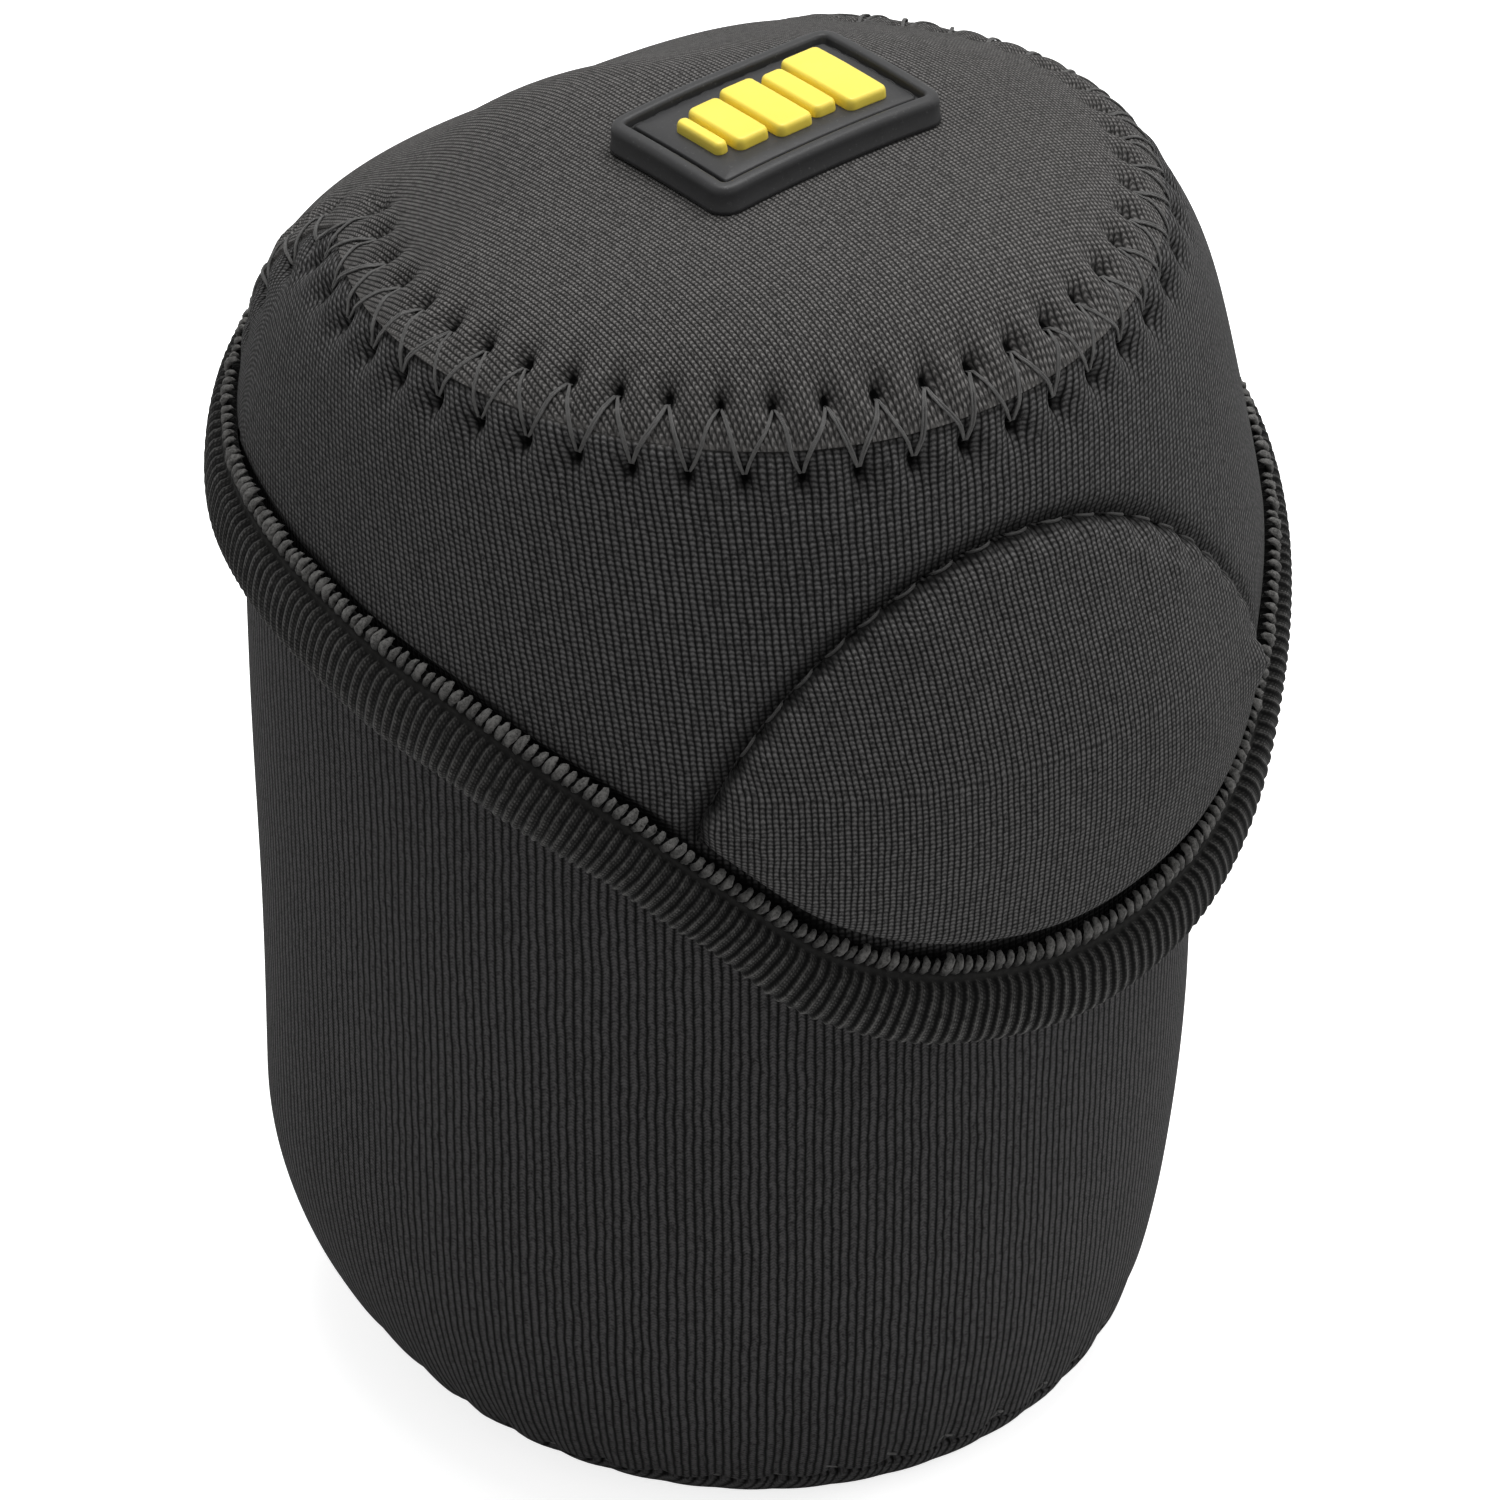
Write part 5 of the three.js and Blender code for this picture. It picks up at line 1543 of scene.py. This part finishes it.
def tuft_finish():
    """Cut yarn: dark along the stem, as painted shade under the head, and pale at the head, by the length
    walked along it, broken by fine noise.
    """
    f = Finish("binding_loops", roughness=0.95, sheen=0.08, sheen_roughness=0.5, specular=0.1)
    _, along = f.cloth_place()
    # Painted shade on the stem, under the head.
    head = (along - STEM_LENGTH).clamped() * 0.85 + 0.15
    wool = f.noise(2600, 3, 0.8)
    patches = f.noise(700, 2, 0.6)
    tone = ((wool * 2.8 - 0.65) * (patches * 1.4 + 0.3) * head).clamped()
    colour = f.mix(tone, (0.003, 0.003, 0.003), (0.165, 0.162, 0.156))
    return f.finish(colour, wool + patches * 0.5, depth=0.16)


def roughen(piece, amount, seed):
    """Moves every point of a piece a little by chance, as cut yarn stands."""
    points = points_of(piece)
    points = points + np.random.default_rng(seed).normal(size=points.shape) * amount
    piece.data.vertices.foreach_set("co", (points * MM).ravel())
    piece.data.update()


tuft_mark = ((np.arange(1, rib_count - 1) + 0.5) * POINTS_A_RIB).astype(int)
draw = np.random.default_rng(31)
size = draw.uniform(0.82, 1.14, (len(tuft_mark), 1))
lean = TUFT_LEAN * draw.uniform(0.5, 1.4, (len(tuft_mark), 1))
stem = carry_section(TUFT_PATH[:, ::-1], 0, np.zeros(rib_steps))
along = unit(np.gradient(stem, axis=0))[tuft_mark]
tufts = stem[tuft_mark]
share = np.linspace(0, 1, len(TUFT_PATH))[None]
tufts = tufts[:, :1] + (tufts - tufts[:, :1]) * size[..., None]
tufts = tufts + along * (lean * (share - 0.5))[..., None]
ups = unit(np.cross(np.gradient(tufts, axis=1), along))
loops = strands(
    "flap_binding_loops", tufts, ups, (TUFT_WIDTHS * size, 0.75 * TUFT_WIDTHS * size), tuft_finish(),
    sides=TUFT_SIDES,
)
roughen(loops, FLUFF, 47)
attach(loops, "flap")

# %% [markdown]
# The padded pull.
# A leaf-shaped pad is sewn onto the front of the skirt. Running stitches hold its upper edge down in a
# narrow channel, and the foam bulges up just inside them. Its lower edge is caught behind the bead. The
# sheet is worked out over the dome first. A cloth simulation with a pinned border then swells it, as the
# filling does.

# %% Shape the padded pull
PAD_SUNK = 0.75
PAD_STEP = 2.1
PAD_BORDER = 2.3
PAD_LOW_BORDER = 2.4
PAD_CROWN = 1.6
PAD_CROWN_REACH = 17
PIT_DEPTH = 0.6
PIT_WIDTH = 0.75
PIT_LENGTH = 1.3


def pad_height(points):
    """How far the pad stands over the dome: a steep border, scalloped at the stitches, and a soft crown."""
    from_top, nearest = distance_to(points, PAD_TOP_LINE)
    from_low, _ = distance_to(points, PAD_LOW_LINE)
    turn = PAD_WALKED[nearest] / PAD_WALKED[-1] * pad_stitches
    scallop = np.cos(2 * np.pi * turn)
    border = bulge(from_top, PAD_BORDER + 0.5 * scallop) * bulge(from_low, PAD_LOW_BORDER)
    crown = smooth(from_top / PAD_CROWN_REACH) * smooth((from_low + 3) / PAD_CROWN_REACH)
    from_stitch = np.abs((turn + 0.5) % 1 - 0.5) * PAD_STITCH
    pit = np.exp(-(from_stitch / PIT_WIDTH) ** 2 - (from_top / PIT_LENGTH) ** 2)
    return -PAD_SUNK + PAD_STEP * border + PAD_CROWN * crown - PIT_DEPTH * pit


def climb(t):
    """Distance up the dome at the middle of the pull, from the share."""
    shares = np.linspace(-1, 0.8, 400)
    line = flap_point(np.full(shares.shape, PAD_CENTRE), shares)
    walked = walked_along(line)
    return np.interp(t, shares, walked)


phi, t = pad_place(*share_grid(PAD_COLUMNS, PAD_ROWS))
pad_base = flap_point(phi, t)
pad_normal = flap_normal(phi, t)
pad_rise = pad_height(pad_base.reshape(-1, 3)).reshape(t.shape)
print("pull stands up to", round(float(pad_rise.max()), 2), "mm over the dome")

# %% [markdown]
# Swelling by simulation.
# Blender's cloth pushes the sheet outwards with pressure while the pinned border holds it. A coarse copy of
# the sheet is enough, because only the broad swelling is wanted. How far each of its points moved outwards
# is read back, capped, and spread over the fine sheet between the coarse points.

# %% Swell the sheet with cloth simulation
SWELL_COLUMNS = 49
SWELL_ROWS = 25
SWELL_CAP = 1.6


def swollen_sheet(points, normals):
    """How far a grid of points moves outwards under pressure, in millimetres; its border is pinned."""
    columns, rows = points.shape[:2]
    mesh = bpy.data.meshes.new("swelling_sheet")
    mesh.from_pydata((points.reshape(-1, 3) * MM).tolist(), [], lattice(columns, rows).tolist())
    sheet = bpy.data.objects.new("swelling_sheet", mesh)
    bpy.context.scene.collection.objects.link(sheet)
    border = np.zeros((columns, rows), bool)
    border[[0, -1]] = True
    border[:, [0, -1]] = True
    pins = sheet.vertex_groups.new(name="sewn")
    pins.add(np.nonzero(border.ravel())[0].tolist(), 1.0, "REPLACE")
    cloth = sheet.modifiers.new("swelling", "CLOTH")
    cloth.settings.quality = 6
    cloth.settings.mass = 0.1
    cloth.settings.tension_stiffness = 8
    cloth.settings.bending_stiffness = 0.2
    cloth.settings.vertex_group_mass = "sewn"
    cloth.settings.use_pressure = True
    cloth.settings.uniform_pressure_force = 4
    cloth.settings.effector_weights.gravity = 0
    for frame_number in range(1, 21):
        bpy.context.scene.frame_set(frame_number)
    moved = sheet.evaluated_get(bpy.context.evaluated_depsgraph_get()).data
    flat = np.empty(columns * rows * 3)
    moved.vertices.foreach_get("co", flat)
    step = flat.reshape(columns, rows, 3) / MM - points
    bpy.data.objects.remove(sheet)
    bpy.data.meshes.remove(mesh)
    bpy.context.scene.frame_set(1)
    return (step * normals).sum(-1)


def spread(coarse, columns, rows):
    """Values of a coarse grid at the points of a finer one, by straight lines both ways."""
    i, j = np.linspace(0, coarse.shape[0] - 1, columns), np.linspace(0, coarse.shape[1] - 1, rows)
    i0, j0 = np.minimum(i.astype(int), coarse.shape[0] - 2), np.minimum(j.astype(int), coarse.shape[1] - 2)
    a, b = (i - i0)[:, None], (j - j0)[None]
    low = mix(coarse[i0][:, j0], coarse[i0 + 1][:, j0], a)
    high = mix(coarse[i0][:, j0 + 1], coarse[i0 + 1][:, j0 + 1], a)
    return mix(low, high, b)


swelling = np.zeros((SWELL_COLUMNS, SWELL_ROWS))
i = np.linspace(0, PAD_COLUMNS - 1, SWELL_COLUMNS).astype(int)
j = np.linspace(0, PAD_ROWS - 1, SWELL_ROWS).astype(int)
start = (pad_base + pad_normal * pad_rise[..., None])[i][:, j]
swelling = swollen_sheet(start, pad_normal[i][:, j])
print("swelling before the cap: up to", round(float(swelling.max()), 2), "mm")
swelling = np.clip(swelling / max(swelling.max(), 1e-6), 0, 1) * SWELL_CAP
pad_rise = pad_rise + spread(swelling, PAD_COLUMNS, PAD_ROWS)

# %% Make the pull and its stitches
outer = pad_base + pad_normal * (pad_rise + 0.12 * uneven(pad_base, 17, 21))[..., None]
inner = pad_base - pad_normal * np.minimum(0.8, pad_rise[..., None] + 1.2)
pad_arc = np.hypot(pad_base[..., 0], pad_base[..., 1] + FLAP_FORWARD) * phi
pad_jersey = jersey("pad_jersey", 0.56, 0.46, BLACK, (0.138, 0.135, 0.134), rope=0.65, rows=0.55, sewn=False)
pad = make_panel("pull_pad_cloth", outer, inner, map_of(pad_arc, climb(t)), pad_jersey)
# Painted shade along the pull's stitched upper edge, where it sinks into the channel.
from_top, _ = distance_to(points_of(pad), PAD_TOP_LINE)
store(pad, shade=0.85 * np.exp(-(from_top / 0.8) ** 2))
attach(pad, "flap")
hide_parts("pull_pad")

s = np.linspace(0, 1, PAD_STITCH_STEPS)
stitch_share = mix(PAD_STITCH_GAP, 1 - PAD_STITCH_GAP, s)
stitch_at = (np.arange(2, pad_stitches - 1)[:, None] + stitch_share) / pad_stitches
phi, t = pad_place(np.interp(stitch_at, PAD_WALKED / PAD_WALKED[-1], pad_line_at), 1)
bow = np.sin(np.pi * s) ** 0.7
pad_ups = flap_normal(phi, t)
pad_paths = flap_point(phi, t) + pad_ups * mix(-0.75, 0.1, bow)[None, :, None]
pad_thread = thread_finish("dark_sewing_thread", (0.006, 0.006, 0.006), (0.1, 0.098, 0.096))
sew("pull_pad_stitches", "flap", pad_paths, pad_ups, (0.34, 0.26), pad_thread, taper=0.3)

# %% [markdown]
# The rubber patch.
# The patch is moulded rubber: a plate with a rounded rim, a stitched groove just inside it and a flat
# field. All of it is a stack of rounded rectangles, each at its own inset and height, laid over the dome.
# Its raised sign is a plain picture of a lens in five yellow blocks, made in the same way.

# %% Lay rings over the top of the flap
PATCH_LENGTH = 26
PATCH_WIDTH = 17.2
PATCH_CENTRE = (-0.9, -8.4)
FIELD_HEIGHT = 2.2
GROOVE_INSET = 1.72
PATCH_STITCH = 2.6
CORNER_STEPS = 10
SIDE_STEPS = 14
SHRINK_STEPS = (0.04, 0.2, 0.4, 0.6, 0.8)


def flap_under(x, y):
    """Angle and share of the dome under a plan place, by halving on the share."""
    def seen(t):
        """The middle of the dome's ring at a share, and the angle of the place as seen from it."""
        centre = -FLAP_FORWARD + APEX_SET_BACK * (1 - (1 - t) ** 2)
        return centre, np.arctan2(x, centre - y)

    def inside(t):
        """Whether the place lies nearer to the middle than the dome's ring at a share."""
        centre, phi = seen(t)
        point = flap_point(phi, t)
        return np.hypot(x, y - centre) < np.hypot(point[..., 0], point[..., 1] - centre)

    t = halved(np.full(x.shape, 0.3), np.full(x.shape, 0.9999), inside)
    return seen(t)[1], t


def over_top(x, y, height):
    """A place on the patch, by its offsets from the patch's centre and its height over the dome."""
    phi, t = flap_under(x + PATCH_CENTRE[0], y + PATCH_CENTRE[1])
    return flap_offset(phi, t, height)


def rounded_outline(half_length, half_width, corner):
    """A rounded rectangle: quarter circles at the corners, with points spread along the sides between
    them.
    """
    turn = np.linspace(0, np.pi / 2, CORNER_STEPS)
    arc = np.stack([np.cos(turn), np.sin(turn)], -1) * corner
    ways = np.array([(1, 1), (-1, 1), (-1, -1), (1, -1)])
    middles = ways * np.array([half_length - corner, half_width - corner])
    quarter = np.array([[0, 1], [-1, 0]])
    turned = [arc @ np.linalg.matrix_power(quarter, k) + middles[k] for k in range(4)]
    along_side = np.linspace(0, 1, SIDE_STEPS)[1:-1, None]
    sides = [mix(turned[k][-1], turned[(k + 1) % 4][0], along_side) for k in range(4)]
    return np.concatenate([part for pair in zip(turned, sides) for part in pair])


def stacked(name, half_length, half_width, corner, rings, offset, finish):
    """A moulded block from rings of (inset, height); the first and last rings are shrunk to the middle in
    steps.
    """
    outlines = []
    for inset, height in rings:
        length, width = half_length - inset, half_width - inset
        outline = rounded_outline(length, width, min(max(corner - inset, 0.3), 0.9 * min(length, width)))
        outlines.append(np.column_stack([outline, np.full(len(outline), height)]))
    shrunk = [np.array([share, share, 1]) for share in SHRINK_STEPS]
    flat = np.stack(
        [outlines[0] * way for way in shrunk] + outlines + [outlines[-1] * way for way in shrunk[::-1]]
    )
    points = over_top(flat[..., 0] + offset, flat[..., 1], flat[..., 2])
    around = np.concatenate([flat, flat[:, :1]], axis=1)
    return closed_bar(name, points, around[..., :2].reshape(-1, 2), finish)

# %% Mix the two rubbers
def rubber_finish():
    """Black moulded rubber: a fine grain with a few pale specks of dust."""
    f = Finish("moulded_rubber", roughness=0.5, specular=0.35)
    grain = f.noise(900, 4, 0.65)
    cloud = f.noise(70, 3)
    dust = (f.noise(2400, 2, 0.8) - 0.62).math("MAXIMUM", 0) * 4
    colour = f.mix((grain * 0.5 + cloud * 0.5).clamped(), (0.011, 0.011, 0.0115), (0.027, 0.027, 0.028))
    dusted = f.mix(dust.clamped(), colour, (0.09, 0.09, 0.09))
    return f.finish(dusted, grain * 0.6 + cloud, depth=0.05, strength=0.7, roughness=grain * 0.25 + 0.36)


def sign_finish():
    """Yellow moulded rubber: two yellows that change slowly, with a fine grain."""
    f = Finish("yellow_rubber", roughness=0.42)
    grain, cloud = f.noise(1100, 3, 0.6), f.noise(120, 2)
    colour = f.mix(cloud, (0.95, 0.72, 0.07), (1.0, 0.83, 0.125))
    return f.finish(colour, grain * 0.5 + cloud, depth=0.04, strength=0.7, roughness=grain * 0.2 + 0.3)


rubber = rubber_finish()
yellow = sign_finish()

# %% Mould the patch and sew its groove
rim = [
    (2.16, FIELD_HEIGHT), (2.06, 2.14), (1.98, 1.9), (1.94, 1.72), (1.5, 1.7), (1.44, 1.85), (1.38, 2.3),
    (1.3, 2.55), (1.15, 2.67), (0.98, 2.7), (0.6, 2.7), (0.36, 2.64), (0.16, 2.48), (0.04, 2.2), (0.0, 1.9),
    (-0.16, 0.75), (-0.3, 0.5), (-0.34, 0.25), (-0.3, 0.05), (-0.2, -0.05),
]
patch = stacked("rubber_patch_moulding", PATCH_LENGTH / 2, PATCH_WIDTH / 2, 1.9, rim, 0, rubber)
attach(patch, "flap")
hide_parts("rubber_patch")

groove = rounded_outline(PATCH_LENGTH / 2 - GROOVE_INSET, PATCH_WIDTH / 2 - GROOVE_INSET, 0.5)
groove = np.concatenate([groove, groove[:1]])
x, y, bow = running_stitches(groove, PATCH_STITCH, 0.14)
groove_paths = over_top(x, y, 1.62 + 0.24 * bow)
phi, t = flap_under(x + PATCH_CENTRE[0], y + PATCH_CENTRE[1])
dark_thread = thread_finish("patch_thread", (0.006, 0.006, 0.006), (0.05, 0.05, 0.05))
sew("patch_stitches", "flap", groove_paths, flap_normal(phi, t), (0.36, 0.3), dark_thread)

# %% Mould the sign
SIGN_LENGTH = 18.6
SIGN_WIDTH = 10.2
SIGN_STEP = 0.55
SIGN_BLOCKS = [
    ("sign_mount", 0.1, 0.61), ("sign_rear_barrel", 0.22, 0.76), ("sign_focus_ring", 0.24, 0.9),
    ("sign_front_barrel", 0.17, 0.8), ("sign_hood", 0.27, 1),
]
BLOCK_EDGE = [(0.32, 3.3), (0.24, 3.28), (0.15, 3.2), (0.07, 3.07), (0.0, 2.85), (-0.05, 2.3), (-0.06, 2.0)]
start = -SIGN_LENGTH / 2
for name, length_share, width_share in SIGN_BLOCKS:
    length, width = SIGN_LENGTH * length_share, SIGN_WIDTH * width_share
    block = stacked(
        name + "_block", (length - SIGN_STEP) / 2, width / 2, 0.7, BLOCK_EDGE, start + length / 2, yellow,
    )
    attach(block, "flap")
    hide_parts(name)
    start += length

# %% [markdown]
# What the flap hides.
# The cup's mouth is bound with the same ribbed tape, folded over its edge. Inside the flap's front sits a
# strip of touch fastener, and its soft half is sewn onto the cup. They are seen when the flap opens.

# %% Bind the mouth
MOUTH_HALF = math.pi - STRIP_HALF - 2 * SEAM_GAP / BODY_RADIUS
MOUTH_STEPS = 1601
MOUTH_RIBBED = 14
MOUTH_RIB_HEIGHT = 0.16
MOUTH_MIDDLE = np.array([-1.7, -3.0])
# Section of the mouth's tape: out from the wall and up from the mouth, first the ribbed face, then the back
mouth_section = np.array([
    (0.3, -7.0), (1.1, -7.05), (1.45, -6.6), (1.4, -4.0), (1.42, -1.2), (1.36, 0.2), (0.9, 1.0), (0.1, 1.3),
    (-1.75, 1.38), (-3.5, 1.3), (-4.4, 0.95), (-4.85, 0.2), (-4.85, -6.6), (-4.5, -7.0), (-3.75, -7.0),
    (-3.75, 0.1), (0.2, 0.1),
])
mouth_phi = np.linspace(-MOUTH_HALF, MOUTH_HALF, MOUTH_STEPS)
mouth_walked = mouth_phi * (BODY_RADIUS - MOUTH_DRAW)
mouth_wave = rib_rise(mouth_walked / RIB_PITCH)
shape = np.where(np.arange(len(mouth_section)) < MOUTH_RIBBED, 1.0, 0.0)
away = unit(mouth_section - MOUTH_MIDDLE)
ribs = MOUTH_RIB_HEIGHT * (mouth_wave[:, None] - 0.8) * shape
reach = mouth_section + away * ribs[..., None]
height = MOUTH_HEIGHT + reach[..., 1]
draw = mouth_draw(np.minimum(MOUTH_HEIGHT, height))
mouth_rings = polar(body_plan(mouth_phi)[:, None] - draw + reach[..., 0], mouth_phi[:, None], height)
mouth_tape = tape_bar("mouth_binding_tape", mouth_rings, mouth_walked, 1, 0.5)
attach(mouth_tape, "cup")
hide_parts("mouth_binding")

# %% Make the fastener's two finishes
def fuzzy_finish():
    """The soft half: a mat of fine loops that catch the light at random."""
    f = Finish("soft_fastener", roughness=0.95, sheen=0.25, sheen_roughness=0.5)
    mat, clumps = f.noise(1500, 5, 0.75), f.noise(260, 3)
    height = mat * 0.7 + clumps * 0.6
    colour = f.mix((height - 0.35).clamped(), (0.005, 0.005, 0.005), (0.09, 0.089, 0.088))
    return f.finish(colour, height, depth=0.5)


def hook_finish():
    """The hook half: rows of small stiff hooks, drawn as cosines both ways."""
    f = Finish("hook_fastener", roughness=0.55)
    across, along = f.cloth_place()
    row = (across / 1.1).wave(0.5)
    hook = (along / 0.9).wave(0.5)
    height = (row * hook).power(0.7)
    colour = f.mix((height * (f.noise(900, 2) + 0.4)).clamped(), (0.004, 0.004, 0.004), (0.09, 0.09, 0.092))
    return f.finish(colour, height, depth=0.6)

# %% Sew the touch fastener on
FASTENER_HALF = math.radians(17)
FASTENER_BOTTOM = 71
FASTENER_HEIGHT = 17
FASTENER_STITCH = 2.8
SEWN_INSET = 1.6
SEWN_DEPTH = 0.35
SEWN_WIDTH = 0.45
TAPE_ROUNDING = 0.5
HOOK_THICKNESS = 1.7
LOOP_THICKNESS = 1.3
TAPE_COLUMNS = 121
TAPE_ROWS = 81


def tape_relief(u, v, wide, high):
    """A tape's face: full inside, sunk along a sewn line near its border, and thin at its cut edge."""
    edge = from_border(u, v, wide, high)
    return bulge(edge, TAPE_ROUNDING) - SEWN_DEPTH * np.exp(-((edge - SEWN_INSET) / SEWN_WIDTH) ** 2)


def sew_round(name, place, normal_at, wide, high, inset, body):
    """Running stitches along a rectangle just inside a tape's border."""
    right, top = wide - inset, high - inset
    line = np.array([(inset, inset), (right, inset), (right, top), (inset, top), (inset, inset)])
    x, y, bow = running_stitches(line, FASTENER_STITCH, 0.12)
    a, b = x / wide, y / high
    ups = normal_at(a, b)
    paths = place(a, b) + ups * mix(-0.35, 0.02, bow)[:, None]
    return sew(name, body, paths, ups, (0.45, 0.35), dark_thread)


u, v = share_grid(TAPE_COLUMNS, TAPE_ROWS)
wide = 2 * FASTENER_HALF * BODY_RADIUS


def loop_place(u, v, out):
    """A place over the cup's wall, by shares across and up the soft tape and a distance out."""
    return wall_point(mix(-FASTENER_HALF, FASTENER_HALF, u), FASTENER_BOTTOM + v * FASTENER_HEIGHT, -out)


relief = tape_relief(u, v, wide, FASTENER_HEIGHT)
loop_tape = make_panel(
    "soft_fastener_tape", loop_place(u, v, 0.7 + (LOOP_THICKNESS - 0.4) * relief), loop_place(u, v, -0.1),
    map_of(u * wide, v * FASTENER_HEIGHT), fuzzy_finish(),
)
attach(loop_tape, "cup")
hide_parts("loop_tape")
sew_round(
        "soft_fastener_stitches", lambda a, b: loop_place(a, b, 1.05),
        lambda a, b: unit(loop_place(a, b, 2) - loop_place(a, b, 1)),
        wide, FASTENER_HEIGHT, SEWN_INSET, "cup",
    )

HOOK_BOTTOM = EDGE_FRONT_HEIGHT + CORD_DIAMETER + SEAM_GAP
HOOK_WIDE = 2 * FASTENER_HALF * FLAP_RADIUS


def hook_place(u, v, depth):
    """A place inside the flap, by shares across and up the hook tape and a depth under the dome."""
    phi = mix(-FASTENER_HALF, FASTENER_HALF, u)
    return flap_offset(phi, flap_at_height(phi, HOOK_BOTTOM + v * FASTENER_HEIGHT), -depth)


relief = tape_relief(u, v, HOOK_WIDE, FASTENER_HEIGHT)
hook_tape = make_panel(
    "hook_fastener_tape", hook_place(u, v, FLAP_CLOTH - 0.2),
    hook_place(u, v, FLAP_CLOTH + 0.4 + (HOOK_THICKNESS - 0.5) * relief),
    map_of(u * HOOK_WIDE, v * FASTENER_HEIGHT), hook_finish(),
)
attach(hook_tape, "flap")
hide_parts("hook_tape")
sew_round(
        "hook_fastener_stitches", lambda a, b: hook_place(a, b, FLAP_CLOTH + 1.35),
        lambda a, b: unit(hook_place(a, b, 3) - hook_place(a, b, 2)),
        HOOK_WIDE, FASTENER_HEIGHT, SEWN_INSET, "flap",
    )

# %% [markdown]
# The belt loop.
# A length of webbing is sewn to the back at both ends and stands clear of it between them, so that a belt
# can pass. Webbing is a thick weave: each cross thread passes over one rib and under the next, so its face
# is a basket of small humps. The humps are drawn in the finish, and each end is held by a stitched box
# with one diagonal.

# %% Weave the webbing
LOOP_WIDTH = 38
LOOP_BOTTOM = 24
LOOP_LENGTH = 60
LOOP_WEB = 1.8
WEB_EDGE = 0.5
WEB_ROUNDING = 0.7
LOOP_SEWN = 5
LOOP_RAMP = 7
BOX_STITCH = 2.6
BOX_INSET = 2
BOX_HEIGHT = 4
BOX_FROM_END = 0.8
BELT_ROOM = 5.6
STRAP_COLUMNS = 77
STRAP_ROWS = 181


def webbing_finish():
    """Woven webbing: ribs as a cosine across, broken by cross threads that step at every rib."""
    f = Finish("woven_webbing", roughness=0.8, sheen=0.2, sheen_roughness=0.4)
    across, along = f.cloth_place()
    warp = (across / 1.5).wave(0.5)
    turn = (across / 1.5).math("FLOOR").math("PINGPONG", 1)
    weft = (along / 1.2 + turn * 0.5).wave(0.5)
    height = (1 - warp) * (weft * 0.7 + 0.3)
    yarn = f.noise(1300, 2, 0.7)
    colour = f.mix((height * (yarn + 0.45)).clamped(), (0.005, 0.005, 0.005), (0.075, 0.074, 0.073))
    return f.finish(colour, height + yarn * 0.2, depth=0.25)

# %% Sew the belt loop on
def back_place(x, z, out):
    """Place on the back of the cup, by its offset to the side and its height; the angle and the share by
    halving.
    """
    right, left = np.full(x.shape, math.pi / 2), np.full(x.shape, 1.5 * math.pi)
    phi = halved(right, left, lambda turn: body_plan(turn) * np.sin(turn) > x)
    share = halved(np.zeros(x.shape), np.ones(x.shape), lambda s: foot_point(phi, s, 0.0)[..., 2] < z)
    on_foot = foot_point(phi, share, 0.0)
    radius = np.where(z < foot_height(phi), np.hypot(on_foot[..., 0], on_foot[..., 1]), body_plan(phi))
    return np.stack([x, -radius * np.cos(phi) + out, z], -1)


def strap_place(x, z, out):
    """The strap lies on the back at both ends and rises to stand clear between them."""
    from_end = np.minimum(z - LOOP_BOTTOM, LOOP_BOTTOM + LOOP_LENGTH - z)
    lift = smooth((from_end - LOOP_SEWN) / LOOP_RAMP)
    lying = back_place(x, z, SEAM_GAP + out)
    lying[..., 1] = mix(lying[..., 1], BODY_BACK_REACH + BELT_ROOM + out, lift)
    return lying


u, v = share_grid(STRAP_COLUMNS, STRAP_ROWS)
x, z = mix(LOOP_WIDTH / 2, -LOOP_WIDTH / 2, u), LOOP_BOTTOM + v * LOOP_LENGTH
full = bulge(from_border(u, v, LOOP_WIDTH, LOOP_LENGTH), WEB_ROUNDING)
outer = strap_place(x, z, mix(WEB_EDGE, LOOP_WEB, full))
inner = strap_place(x, z, 0.3 * (1 - full) - 0.2)
strap_line = strap_place(np.zeros(STRAP_ROWS), z[0], 0.9)
strap_walked = walked_along(strap_line)
cloth_map = map_of(u * LOOP_WIDTH, strap_walked)
webbing = make_panel("belt_loop_webbing", outer, inner, cloth_map, webbing_finish())
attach(webbing, "cup")
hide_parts("belt_loop", "belt_loop_lower_end", "belt_loop_upper_end")

boxes = {
    "lower_end_stitches": LOOP_BOTTOM + BOX_FROM_END,
    "upper_end_stitches": LOOP_BOTTOM + LOOP_LENGTH - BOX_HEIGHT - BOX_FROM_END,
}
for name, low in boxes.items():
    half, high = LOOP_WIDTH / 2 - BOX_INSET, low + BOX_HEIGHT
    corners = np.array([(-half, low), (half, low), (half, high), (-half, high), (-half, low), (half, high)])
    x, z, bow = running_stitches(corners, BOX_STITCH, 0.1)
    paths = strap_place(x, z, mix(LOOP_WEB - 0.3, LOOP_WEB + 0.12, bow))
    ups = unit(strap_place(x, z, 2) - strap_place(x, z, 1))
    sew("belt_loop_" + name, "cup", paths, ups, (0.5, 0.4), thread)
